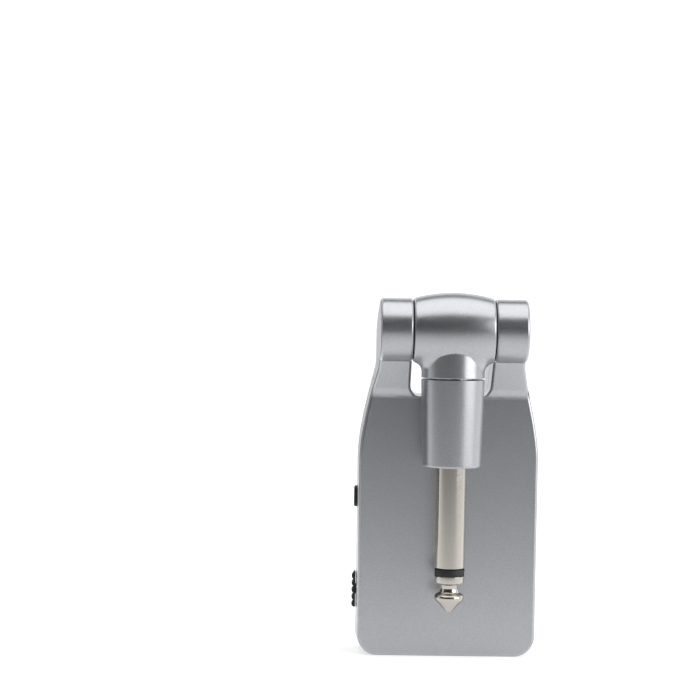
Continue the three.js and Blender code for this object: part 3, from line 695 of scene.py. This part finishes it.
def make_tip(name):
    """The turned tip with its waist and its inner rod, which runs back through the shaft."""
    ball = TIP_END - 3
    corners = [
        (0, ROD_START), (ROD_RADIUS, ROD_START), (ROD_RADIUS, TIP_START), (TIP_RADIUS, TIP_START),
        (TIP_RADIUS, ball - 3.15), (1.95, ball - 2.75), (1.78, ball - 1.9), (2.1, ball - 1.05),
        (TIP_RADIUS, ball - 0.5), (TIP_RADIUS, ball + 0.5), (1.1, TIP_END - 0.5), (0.7, TIP_END),
        (0, TIP_END),
    ]
    radii = [0, 0.1, 0.1, 0.1, 0.2, 0.3, 0.7, 0.7, 0.8, 1.1, 0.5, 0.4, 0]
    return on_arm(name, soften(corners, radii, steps=6), 96)


# ---- side controls


def raised_prism(name, outline, layers):
    """A prism along X from a (y, z) outline. layers holds pairs of place along X and how far the outline
    draws in."""
    middle = np.mean(outline, axis=0)
    half = np.abs(np.array(outline) - middle).max(axis=0)
    rings = []
    for x, draw in layers:
        scale = (half - draw) / half
        rings.append([(x, *(middle + (np.array(p) - middle) * scale)) for p in outline])
    return loft(name, rings)


def make_pair_button(name):
    """A rounded cap that stands a little proud, with a flange and a plunger behind the wall."""
    face = button_low.x
    outline = round_rectangle(BUTTON_PLACE, CAP_SIZE[0], CAP_SIZE[1], 1, 10)
    flange_face = side_x(BUTTON_PLACE[1]) + WALL + 0.3
    edge = 0.3
    turns = np.linspace(0, math.pi / 2, 6)
    dome = [(face + edge - edge * math.cos(a), edge - edge * math.sin(a)) for a in turns]
    cap = raised_prism(name, outline, dome + [(flange_face + 0.1, 0)])
    flange_outline = round_rectangle(BUTTON_PLACE, CAP_SIZE[0] + 1.4, CAP_SIZE[1] + 1.4, 1.2)
    flange = extrude("flange", flange_outline, flange_face, flange_face + 0.5, "X")
    plunger_outline = round_rectangle(BUTTON_PLACE, 1.4, 1.4, 0.3)
    plunger = extrude("plunger", plunger_outline, flange_face, button_high.x, "X")
    combine(cap, "UNION", flange, plunger)
    return shade(tidy_mesh(cap))


RIBS = 5
RIB_PITCH = 1.5
RIB_HEIGHT = 0.42
PLATE_END = [(0, 0.14), (0.06, 0.04), (0.16, 0)]  # distance in from the plate's end, and how far it draws in


def make_power_slider(name):
    """A thin thumb plate with saw-tooth ribs, its stem passing through the wall to the switch."""
    low, high = slider_low.z, slider_high.z
    foot = side_x(SLIDER_PLACE[1]) - 0.1
    crest = slider_low.x
    root = crest + RIB_HEIGHT
    path, radii = [(low, foot), (low, root)], [0, 0.12]
    for rib in range(RIBS):
        start = low + 0.05 + rib * RIB_PITCH
        path += [(start + 0.18, crest), (start + 0.72, crest), (start + RIB_PITCH, root)]
        radii += [0.12, 0.16, 0.1]
    path += [(high, foot)]
    radii += [0]
    outline = soften(path, radii, steps=3)
    half = SLIDER_WIDTH / 2
    layers = [(depth - half, draw) for depth, draw in PLATE_END]
    layers += [(half - depth, draw) for depth, draw in reversed(PLATE_END)]
    rings = []
    for y, draw in layers:
        rings.append([(min(x + draw, foot), PARTING + y, z) for z, x in outline])
    plate = loft(name, rings)
    stem_outline = round_rectangle(SLIDER_PLACE, *STEM_SIZE, 0.3)
    combine(plate, "UNION", extrude("stem", stem_outline, foot - 0.2, slider_high.x, "X"))
    return shade(tidy_mesh(plate))


# ---- bottom end


def make_socket(name):
    """The charging socket's steel shell, closed at its inner end."""
    low, high = socket_low.z, socket_high.z
    shell = extrude(name, socket_outline(0), low, high, "Z")
    cut(shell, extrude("socket_room", socket_outline(-SOCKET_PLATE), low - 1, high - 0.5, "Z"))
    return shade(round_edges(shell, 0.09))


def make_tongue(name):
    return shade(round_edges(box(name, tongue_low, tongue_high), 0.12))


def make_light_pipe(name):
    low, high = pipe_low.z, pipe_high.z
    profile = [
        (0, low), (PIPE_RADIUS * 0.6, low + 0.03), (PIPE_RADIUS - 0.08, low + 0.12),
        (PIPE_RADIUS, low + 0.25), (PIPE_RADIUS, high - 0.1), (PIPE_RADIUS - 0.1, high), (0, high),
    ]
    return shade(turned(name, profile, "Z", (*PIPE_PLACE, 0), 48))


# ---- inside the hinge and the body


def across_hinge(name, profile, side):
    """A turned part on the hinge axis, its places measured outwards from the middle; side is 1 for +X."""
    outwards = [(radius, side * place) for radius, place in profile]
    return shade(turned(name, outwards, "X", (0, HINGE.y, HINGE.z), 64))


PIVOT_RADIUS = 2
PIVOT_HEAD = 3.4
PIVOT_HEAD_DEPTH = 0.9
BUSH_BORE = 1.3


def make_pivot(node, side):
    """A headed pivot, the one for the wires hollow."""
    low, high = node_box(node)
    near, far = sorted((abs(low.x), abs(high.x)))
    head = far - PIVOT_HEAD_DEPTH
    bore, bore_edge = (BUSH_BORE, 0.1) if side > 0 else (0, 0)
    corners = [
        (bore, near), (PIVOT_RADIUS, near), (PIVOT_RADIUS, head), (PIVOT_HEAD, head), (PIVOT_HEAD, far),
        (bore, far),
    ]
    if bore:
        corners.append(corners[0])
    radii = [bore_edge, 0.15, 0, 0.1, 0.2, bore_edge]
    return across_hinge(node + "_visual", soften(corners, radii, steps=4), side)


def make_hinge_washer(node, side):
    low, high = node_box(node)
    near, far = sorted((abs(low.x), abs(high.x)))
    profile = ring_profile(PIVOT_RADIUS + 0.15, (high.z - low.z) / 2, near, far, 0.05, 0.05)
    return across_hinge(node + "_visual", profile, side)


def make_arm_ring(node, inner):
    low, high = node_box(node)
    profile = ring_profile(inner, (high.x - low.x) / 2, *arm_span(node), 0.08, 0.08)
    return on_arm(node + "_visual", profile, 80)


SCREW_CORE = 0.52
SCREW_CREST = 0.65
SCREW_PITCH = 0.33
SCREW_TURNS = 9
SCREW_HEAD = 1.5
SCREW_CROSS = (1.5, 0.28)


def make_screw(node):
    """A pan-head screw with a cross in its head and a row of ridges for its coarse thread."""
    low, high = node_box(node)
    x, z = (low.x + high.x) / 2, (low.z + high.z) / 2
    head = high.y - 0.7
    profile = [(0, low.y)]
    for ridge in range(SCREW_TURNS):
        place = low.y + 0.15 + ridge * SCREW_PITCH
        profile += [(SCREW_CORE, place), (SCREW_CREST, place + 0.12), (SCREW_CORE, place + 0.24)]
    corners = [(SCREW_CORE, head), (SCREW_HEAD, head), (SCREW_HEAD, head + 0.35), (1.1, high.y), (0, high.y)]
    profile += soften(corners, [0, 0.08, 0.2, 0.3, 0])
    screw = turned(node + "_visual", profile, "Y", (x, 0, z), 40)
    for wide, tall in (SCREW_CROSS, SCREW_CROSS[::-1]):
        bottom = (x - wide / 2, high.y - 0.38, z - tall / 2)
        cut(screw, box("cross", bottom, (x + wide / 2, high.y + 1, z + tall / 2)))
    return shade(screw, 35)


PIVOT_NEAR = 3.2  # place along X of the bush's inner end
WIRE_RADIUS = 0.43
LEAD_RADIUS = 0.38
WIRE_STEPS = 10
WIRE_SIDES = 18


def make_wire(name, points, radius):
    """A round wire along a smooth curve through the points."""
    knots = [Vector(p) for p in points]
    knots = [2 * knots[0] - knots[1], *knots, 2 * knots[-1] - knots[-2]]
    path = []
    for a, b, c, d in zip(knots, knots[1:], knots[2:], knots[3:]):
        for k in range(WIRE_STEPS):
            t = k / WIRE_STEPS
            bow = 2 * a - 5 * b + 4 * c - d
            sway = 3 * b - a - 3 * c + d
            path.append(0.5 * (2 * b + (c - a) * t + bow * t * t + sway * t ** 3))
    path.append(knots[-2])
    rings = []
    side = (path[1] - path[0]).orthogonal().normalized()
    for i, point in enumerate(path):
        along = (path[min(i + 1, len(path) - 1)] - path[max(i - 1, 0)]).normalized()
        side = (side - along * side.dot(along)).normalized()
        other = along.cross(side)
        angles = [2 * math.pi * k / WIRE_SIDES for k in range(WIRE_SIDES)]
        rings.append([tuple(point + radius * (side * math.cos(a) + other * math.sin(a))) for a in angles])
    return shade(loft(name, rings))


def arm_points(points):
    """Points given outwards along the unfolded arm, as they lie with the arm folded down."""
    return [(x, HINGE.y - y, HINGE.z - z) for x, y, z in points]


def body_wire_points(side, board_x):
    """Out through the bush, then forwards and down to the board; side is -1 or 1, one for each wire."""
    y, z = HINGE.y, HINGE.z
    close, apart = 0.5 * side, 0.6 * side
    return [
        (PIVOT_NEAR - 0.1, y + close, z), (9, y + close, z), (12, y + close, z),
        (13, y + 0.7 + apart, z - 0.8), (13, y + 3.6 + apart, z - 3.8), (12.6, y + 6 + apart, z - 7),
        (12.4, -3.6 + apart, 57), (board_x, 0.2 + apart, 51), (board_x, -0.4, 47.5),
    ]


def make_wires():
    """The wires from the plug through the hollow pivot to the board, and the battery's leads."""
    meet = PIVOT_NEAR - 0.8
    signal = arm_points(
        [(-1.8, -0.9, SHAFT_START - 5.8), (-1.6, -1.2, 12), (-0.8, -1, 7), (0.6, -0.7, 2.2), (meet, -0.5, 0)],
    )
    ground = arm_points(
        [(3.6, 1.3, SHAFT_START - 2.9), (3.3, 1.5, 13), (2.2, 1.2, 7), (1.6, 0.8, 2.6), (meet, 0.5, 0)],
    )

    def lead(x):
        return [(x, 2.6, 8.8), (x, 2.5, 7.4), (x - 0.4, 1.2, 6.2), (x - 1.2, -0.4, 5.4)]

    return [
        ("signal_wire_arm", signal, WIRE_RADIUS, "plug_arm"),
        ("ground_wire_arm", ground, WIRE_RADIUS, "plug_arm"),
        ("signal_wire_body", body_wire_points(-1, 10.6), WIRE_RADIUS, "housing"),
        ("ground_wire_body", body_wire_points(1, 12.2), WIRE_RADIUS, "housing"),
        ("battery_lead_red", lead(0.6), LEAD_RADIUS, "housing"),
        ("battery_lead_black", lead(-1.2), LEAD_RADIUS, "housing"),
    ]


BOARD_REAR = -2.02
CAPACITORS = [(-12, z) for z in (34, 31.5, 29)] + [(x, 27) for x in (9, 11, 13)]
CAPACITORS += [(x, 16) for x in (-4.5, -2, 0.5, 3)]
RESISTORS = [(8.6, z) for z in (40, 38, 36)] + [(-5.5, z) for z in (22.6, 20.8)]
RESISTORS += [(11.2, z) for z in (12, 10)] + [(x, 10) for x in (2.6, 0.4)]


def small_parts(name, places, size):
    """Tiny surface-mounted parts on the board's rear side, joined as one object."""
    parts = []
    for x, z in places:
        low = (x - size[0] / 2, BOARD_REAR - size[1], z - size[2] / 2)
        high = (x + size[0] / 2, BOARD_REAR, z + size[2] / 2)
        parts.append(round_edges(box(name, low, high), 0.05))
    return shade(join_meshes(name, parts))


# CAD nodes shown with rounded edges, and how wide the rounding is
SOFT_NODES = {
    "battery_cell": 0.9, "battery_tape": 0.15, "radio_shield": 0.25, "chip_antenna": 0.1, "audio_chip": 0.08,
    "charger_chip": 0.08, "crystal": 0.25, "pair_switch": 0.15, "power_switch": 0.15, "status_light": 0.12,
}

# ---- printed marks

PRINT_LOW = FRONT - 0.03
PRINT_HIGH = FRONT + 0.02
MARK_X = -HALF_WIDTH + 3.4
LINE_WIDTH = 0.34


def stroke(name, centre, radius, width, start, end, steps=40):
    """A flat band bent round a circle on the front face, its ends square."""
    start, end = math.radians(start), math.radians(end)
    outer = arc(centre, radius + width / 2, start, end, steps)
    inner = arc(centre, radius - width / 2, end, start, steps)
    return extrude(name, outer + inner, PRINT_LOW, PRINT_HIGH, "Y")


def bar(name, centre, width, height):
    outline = round_rectangle(centre, width, height, min(width, height) / 2 - 0.001, 5)
    return extrude(name, outline, PRINT_LOW, PRINT_HIGH, "Y")


def join_meshes(name, parts):
    """Several meshes as one object."""
    work = bmesh.new()
    for part in parts:
        work.from_mesh(part.data)
    mesh = bpy.data.meshes.new(name)
    work.to_mesh(mesh)
    work.free()
    for part in parts:
        bpy.data.objects.remove(part)
    return add_object(name, mesh)


def make_prints():
    """A power symbol beside the slide switch and a wireless symbol beside the pairing button, both turned on
    their sides so that they read along the body."""
    power = (MARK_X, SLIDER_PLACE[1])
    pair = (MARK_X, BUTTON_PLACE[1])
    power_ring = stroke("power_ring", power, 1.25, LINE_WIDTH, 40, 320)
    power_bar = bar("power_bar", (power[0] + 0.95, power[1]), 1.5, LINE_WIDTH)
    power_mark = join_meshes("power_mark", [power_ring, power_bar])
    waves = [stroke("wave", pair, r, 0.3, a - 42, a + 42, 16) for r in (0.95, 1.6) for a in (90, 270)]
    pair_mark = join_meshes("pair_mark", [*waves, stroke("dot", pair, 0.17, 0.33, 0, 350, 24)])
    return power_mark, pair_mark


# ---- materials


class Look:
    """A material's node tree, with short ways to add what the finishes share."""

    def __init__(self, name, color, roughness, metallic=0.0, **more):
        self.material = bpy.data.materials.new(name)
        self.material.use_nodes = True
        self.tree = self.material.node_tree
        self.shader = self.tree.nodes["Principled BSDF"]
        self.color = (*color, 1)
        self.shader.inputs["Base Color"].default_value = self.color
        self.shader.inputs["Roughness"].default_value = roughness
        self.shader.inputs["Metallic"].default_value = metallic
        for key, value in more.items():
            self.shader.inputs[key.replace("_", " ")].default_value = value
        self.coordinates = self.tree.nodes.new("ShaderNodeTexCoord").outputs["Object"]

    def link(self, source, target):
        self.tree.links.new(source, target)

    def noise(self, scale, detail=2.0, stretch=(1, 1, 1)):
        """Noise with about scale features to the metre, squeezed along the axes by stretch."""
        mapping = self.tree.nodes.new("ShaderNodeMapping")
        mapping.inputs["Scale"].default_value = stretch
        texture = self.tree.nodes.new("ShaderNodeTexNoise")
        texture.inputs["Scale"].default_value = scale
        texture.inputs["Detail"].default_value = detail
        self.link(self.coordinates, mapping.inputs["Vector"])
        self.link(mapping.outputs["Vector"], texture.inputs["Vector"])
        return texture.outputs["Fac"]

    def ramp(self, factor, low, high, low_value, high_value):
        """Maps factor from the range low..high to low_value..high_value."""
        node = self.tree.nodes.new("ShaderNodeMapRange")
        limits = {"From Min": low, "From Max": high, "To Min": low_value, "To Max": high_value}
        for key, value in limits.items():
            node.inputs[key].default_value = value
        self.link(factor, node.inputs["Value"])
        return node.outputs["Result"]

    def vary_roughness(self, factor, low_value, high_value):
        self.link(self.ramp(factor, 0.3, 0.7, low_value, high_value), self.shader.inputs["Roughness"])

    def vary_color(self, factor, other, low=0.35, high=0.65):
        """Mixes the base colour with another where factor rises."""
        mix = self.tree.nodes.new("ShaderNodeMix")
        mix.data_type = "RGBA"
        mix.inputs[6].default_value = self.color
        mix.inputs[7].default_value = (*other, 1)
        self.link(self.ramp(factor, low, high, 0, 1), mix.inputs[0])
        self.link(mix.outputs[2], self.shader.inputs["Base Color"])

    def bump(self, factor, strength, depth):
        node = self.tree.nodes.new("ShaderNodeBump")
        node.inputs["Strength"].default_value = strength
        node.inputs["Distance"].default_value = depth * MM
        self.link(factor, node.inputs["Height"])
        self.link(node.outputs["Normal"], self.shader.inputs["Normal"])


def make_looks():
    """One procedural finish for each of the record's material slots."""
    looks = {}

    def finish(slot_name, *values, **more):
        look = Look(slot_name + "_look", *values, **more)
        looks[slot_name] = look.material
        return look

    paint = finish("silver_paint", (0.50, 0.51, 0.53), 0.31, 0.92)
    flake = paint.noise(5200, 1.5)
    paint.vary_color(flake, (0.40, 0.41, 0.43), 0.3, 0.7)
    paint.vary_roughness(paint.noise(900, 3), 0.28, 0.34)
    paint.bump(flake, 0.25, 0.006)

    nickel = finish("nickel_plate", (0.53, 0.50, 0.46), 0.17, 1)
    lines = nickel.noise(260, 3, (1, 1, 40))
    nickel.vary_roughness(lines, 0.13, 0.22)
    nickel.bump(lines, 0.12, 0.004)

    brass = finish("brass_parts", (0.60, 0.42, 0.17), 0.3, 1)
    brass.vary_roughness(brass.noise(1500, 3), 0.24, 0.38)

    steel = finish("steel_parts", (0.55, 0.56, 0.58), 0.3, 1)
    steel.vary_roughness(steel.noise(1200, 3, (1, 1, 6)), 0.22, 0.38)

    black = finish("black_plastic", (0.008, 0.008, 0.009), 0.5)
    grain = black.noise(4200, 2)
    black.vary_roughness(grain, 0.45, 0.58)
    black.bump(grain, 0.2, 0.01)

    white = finish("white_plastic", (0.78, 0.76, 0.70), 0.45, Subsurface_Weight=0.05)
    white.vary_roughness(white.noise(2500), 0.4, 0.5)

    board = finish("board_mask", (0.012, 0.10, 0.045), 0.38)
    tracks = board.noise(420, 0, (1, 0.01, 1))
    board.vary_color(tracks, (0.02, 0.17, 0.075), 0.49, 0.51)
    board.bump(tracks, 0.4, 0.03)

    chip = finish("chip_black", (0.02, 0.02, 0.021), 0.6)
    chip.bump(chip.noise(7000, 2), 0.2, 0.01)

    ceramic = finish("chip_ceramic", (0.70, 0.66, 0.58), 0.55)
    ceramic.bump(ceramic.noise(6000, 2), 0.15, 0.01)

    foil = finish("cell_foil", (0.60, 0.61, 0.63), 0.32, 0.9)
    crumple = foil.noise(260, 2)
    foil.bump(crumple, 0.5, 0.15)
    foil.vary_roughness(crumple, 0.26, 0.4)

    foam = finish("foam_tape", (0.03, 0.03, 0.032), 0.95)
    foam.bump(foam.noise(2600, 3), 0.8, 0.08)

    glassy = {"Transmission_Weight": 0.85, "IOR": 1.49}
    clear = finish("clear_plastic", (0.92, 0.95, 0.96), 0.12, **glassy)
    clear.bump(clear.noise(1500), 0.05, 0.01)

    rubbers = {"red_insulation": (0.35, 0.012, 0.012), "black_insulation": (0.012, 0.012, 0.013)}
    for slot_name, color in rubbers.items():
        rubber = finish(slot_name, color, 0.5)
        rubber.bump(rubber.noise(2000, 2), 0.2, 0.01)
    return looks


# ---- the object

looks = make_looks()
slots = {part["node"]: part["material_slot"] for part in frame["record"]["subparts"]}


def place(piece, body, slot_name, *nodes):
    """Finishes a piece and hands it to its body and to the CAD nodes it stands for."""
    piece.data.materials.clear()
    piece.data.materials.append(looks[slot_name])
    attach(piece, body)
    if nodes:
        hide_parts(*nodes)


def stand_in(piece, body, node):
    """Places a piece that stands for one CAD node, in that node's material slot."""
    place(piece, body, slots[node], node)


for shell, node in zip(make_shells(), ("front_shell", "rear_shell")):
    stand_in(shell, "housing", node)
for make, body, node in (
    (make_barrel, "plug_arm", "hinge_barrel"), (make_sleeve, "plug_arm", "plug_sleeve"),
    (make_shaft, "plug_arm", "plug_shaft"), (make_ring, "plug_arm", "insulator_ring"),
    (make_tip, "plug_arm", "plug_tip"), (make_pair_button, "pair_button", "pair_button"),
    (make_power_slider, "power_slider", "power_slider"), (make_socket, "housing", "charge_socket"),
    (make_tongue, "housing", "socket_tongue"), (make_light_pipe, "housing", "light_pipe"),
):
    stand_in(make(node + "_visual"), body, node)
for mark in make_prints():
    place(mark, "housing", "black_plastic")
stand_in(make_pivot("pivot_bush", 1), "housing", "pivot_bush")
stand_in(make_pivot("pivot_pin", -1), "housing", "pivot_pin")
WASHERS = {"friction_washer_right": 1, "friction_washer_left": -1, "spacer_washer": 1, "spring_washer": -1}
for node, side in WASHERS.items():
    stand_in(make_hinge_washer(node, side), "housing", node)
for node, inner in (
    ("insulator_tube", ROD_RADIUS + 0.2), ("clamp_nut", SHAFT_RADIUS + 0.25),
    ("insulating_washer", ROD_RADIUS + 0.2),
):
    stand_in(make_arm_ring(node, inner), "plug_arm", node)
for number in (1, 2, 3, 4):
    screw_name = f"board_screw_{number}"
    stand_in(make_screw(screw_name), "housing", screw_name)
for wire_name, points, radius, body in make_wires():
    stand_in(make_wire(wire_name + "_visual", points, radius), body, wire_name)
place(small_parts("small_capacitors", CAPACITORS, (0.8, 0.5, 1.6)), "housing", "chip_ceramic")
place(small_parts("small_resistors", RESISTORS, (1.6, 0.35, 0.8)), "housing", "chip_black")
for node, width in SOFT_NODES.items():
    add_bevel(frame["nodes"][node], width, 40, 3)

for node, shown in frame["nodes"].items():
    if not shown.hide_render:
        shown.data.materials.clear()
        shown.data.materials.append(looks[slots[node]])

# ---- camera

CAMERA_PLACE = Vector((-34.2, -493.48, 84.55)) * MM
YAW, PITCH, ROLL = math.radians(1.509), math.radians(-2.32), math.radians(0.954)

camera = add_object("camera", bpy.data.cameras.new("camera"))
camera.data.lens = 118.8
camera.data.sensor_width = 36
camera.data.clip_start = 0.02
camera.data.clip_end = 20
forward = Vector((math.sin(YAW) * math.cos(PITCH), math.cos(YAW) * math.cos(PITCH), math.sin(PITCH)))
level_right = Vector((math.cos(YAW), -math.sin(YAW), 0))
level_up = level_right.cross(forward)
right = level_right * math.cos(ROLL) + level_up * math.sin(ROLL)
up = level_up * math.cos(ROLL) - level_right * math.sin(ROLL)
turn = Matrix((right, up, -forward)).transposed()
camera.matrix_world = Matrix.Translation(CAMERA_PLACE) @ turn.to_4x4()
bpy.context.scene.camera = camera

# ---- studio

STUDIO_RADIUS = 1700
STUDIO_BEND = 400
STUDIO_HEIGHT = 1500
STUDIO_SIDES = 96
WALL_RISE = 250  # height over which the floor's glow gives way to the wall's
# Each fade runs between two places, with its value at each: along Y here, outwards from the object below
FLOOR_FADE, FLOOR_GLOW = (-200, 200), (0.1, 1.0)
WALL_FADE, WALL_GLOW = (-600, 500), (0.01, 1.15)
BACKDROP_FADE, BACKDROP_GLOW = (50, 400), (0.58, 1.05)
FLOOR_PALE_FADE, FLOOR_PALE = (120, 700), (0.63, 0.12)


def studio_sweep():
    """A round white floor that curves up into a wall all the way round. What it throws on the object stands
    for lamps out of sight, strong behind the object and fading towards the front of the studio. Looked at, it
    is pale all round."""
    profile = [(0, 0), (60, 0), (200, 0), (500, 0), (STUDIO_RADIUS - STUDIO_BEND, 0)]
    profile += arc((STUDIO_RADIUS - STUDIO_BEND, STUDIO_BEND), STUDIO_BEND, -math.pi / 2, 0, 20)[1:]
    profile.append((STUDIO_RADIUS, STUDIO_HEIGHT))
    vertices = [(0, 0, 0)]
    faces = []
    for radius, z in profile[1:]:
        for k in range(STUDIO_SIDES):
            angle = 2 * math.pi * k / STUDIO_SIDES
            vertices.append((radius * math.cos(angle), radius * math.sin(angle), z))
    for k in range(STUDIO_SIDES):
        after = (k + 1) % STUDIO_SIDES
        faces.append((0, 1 + k, 1 + after))
        for row in range(len(profile) - 2):
            base = 1 + row * STUDIO_SIDES
            above = base + STUDIO_SIDES
            faces.append((base + k, above + k, above + after, base + after))
    sweep = make_object("studio_sweep", vertices, faces)
    white = Look("studio_white", (0.75, 0.75, 0.75), 0.9)
    white.shader.inputs["Emission Color"].default_value = (1, 1, 1, 1)
    white.shader.inputs["Specular IOR Level"].default_value = 0
    split = white.tree.nodes.new("ShaderNodeSeparateXYZ")
    white.link(white.coordinates, split.inputs["Vector"])

    def fade(factor, ends, values):
        return white.ramp(factor, ends[0] * MM, ends[1] * MM, *values)

    def mix(factor, first, second):
        node = white.tree.nodes.new("ShaderNodeMix")
        for target, source in ((0, factor), (2, first), (3, second)):
            white.link(source, node.inputs[target])
        return node.outputs[0]

    on_floor = fade(split.outputs["Y"], FLOOR_FADE, FLOOR_GLOW)
    on_wall = fade(split.outputs["Y"], WALL_FADE, WALL_GLOW)
    height = fade(split.outputs["Z"], (0, WALL_RISE), (0, 1))
    glow = mix(height, on_floor, on_wall)
    reach = white.tree.nodes.new("ShaderNodeVectorMath")
    reach.operation = "LENGTH"
    white.link(white.coordinates, reach.inputs[0])
    in_sight = white.tree.nodes.new("ShaderNodeLightPath").outputs["Is Camera Ray"]
    backdrop = fade(reach.outputs["Value"], BACKDROP_FADE, BACKDROP_GLOW)
    white.link(mix(in_sight, glow, backdrop), white.shader.inputs["Emission Strength"])
    pale = fade(reach.outputs["Value"], FLOOR_PALE_FADE, FLOOR_PALE)
    white.link(pale, white.shader.inputs["Base Color"])
    sweep.data.materials.append(white.material)


def aim(obj, place_mm, aim_mm):
    """Puts a lamp or card at a place, facing a point."""
    obj.location = Vector(place_mm) * MM
    obj.rotation_mode = "QUATERNION"
    obj.rotation_quaternion = (Vector(aim_mm) - Vector(place_mm)).to_track_quat("-Z", "Y")


def softbox(name, place_mm, aim_mm, size_mm, power):
    light = bpy.data.lights.new(name, "AREA")
    light.shape = "RECTANGLE"
    light.size, light.size_y = (s * MM for s in size_mm)
    light.energy = power
    lamp = add_object(name, light)
    aim(lamp, place_mm, aim_mm)
    lamp.visible_camera = False


def flag(name, place_mm, aim_mm, size_mm):
    """A black card out of the camera's sight that darkens the reflections on one side."""
    x, y = size_mm[0] / 2, size_mm[1] / 2
    card = make_object(name, [(-x, -y, 0), (x, -y, 0), (x, y, 0), (-x, y, 0)], [(0, 1, 2, 3)])
    aim(card, place_mm, aim_mm)
    card.data.materials.append(Look("flag_cloth", (0.02, 0.02, 0.02), 0.9).material)
    card.visible_camera = False
    card.visible_shadow = False


studio_sweep()
softbox("overhead", (0, -75, 620), (0, -75, 0), (1000, 750), 4.4)
softbox("right_panel", (580, -320, 230), (0, -14, 60), (540, 440), 2.6)
flag("left_flag", (-135, 105, 70), (0, 0, 70), (170, 140))

world = bpy.data.worlds.new("studio_air")
bpy.context.scene.world = world
world.use_nodes = True
air = world.node_tree.nodes["Background"].inputs
air["Color"].default_value = (0.93, 0.96, 1, 1)
air["Strength"].default_value = 0.04
bpy.context.scene.view_settings.view_transform = "Standard"
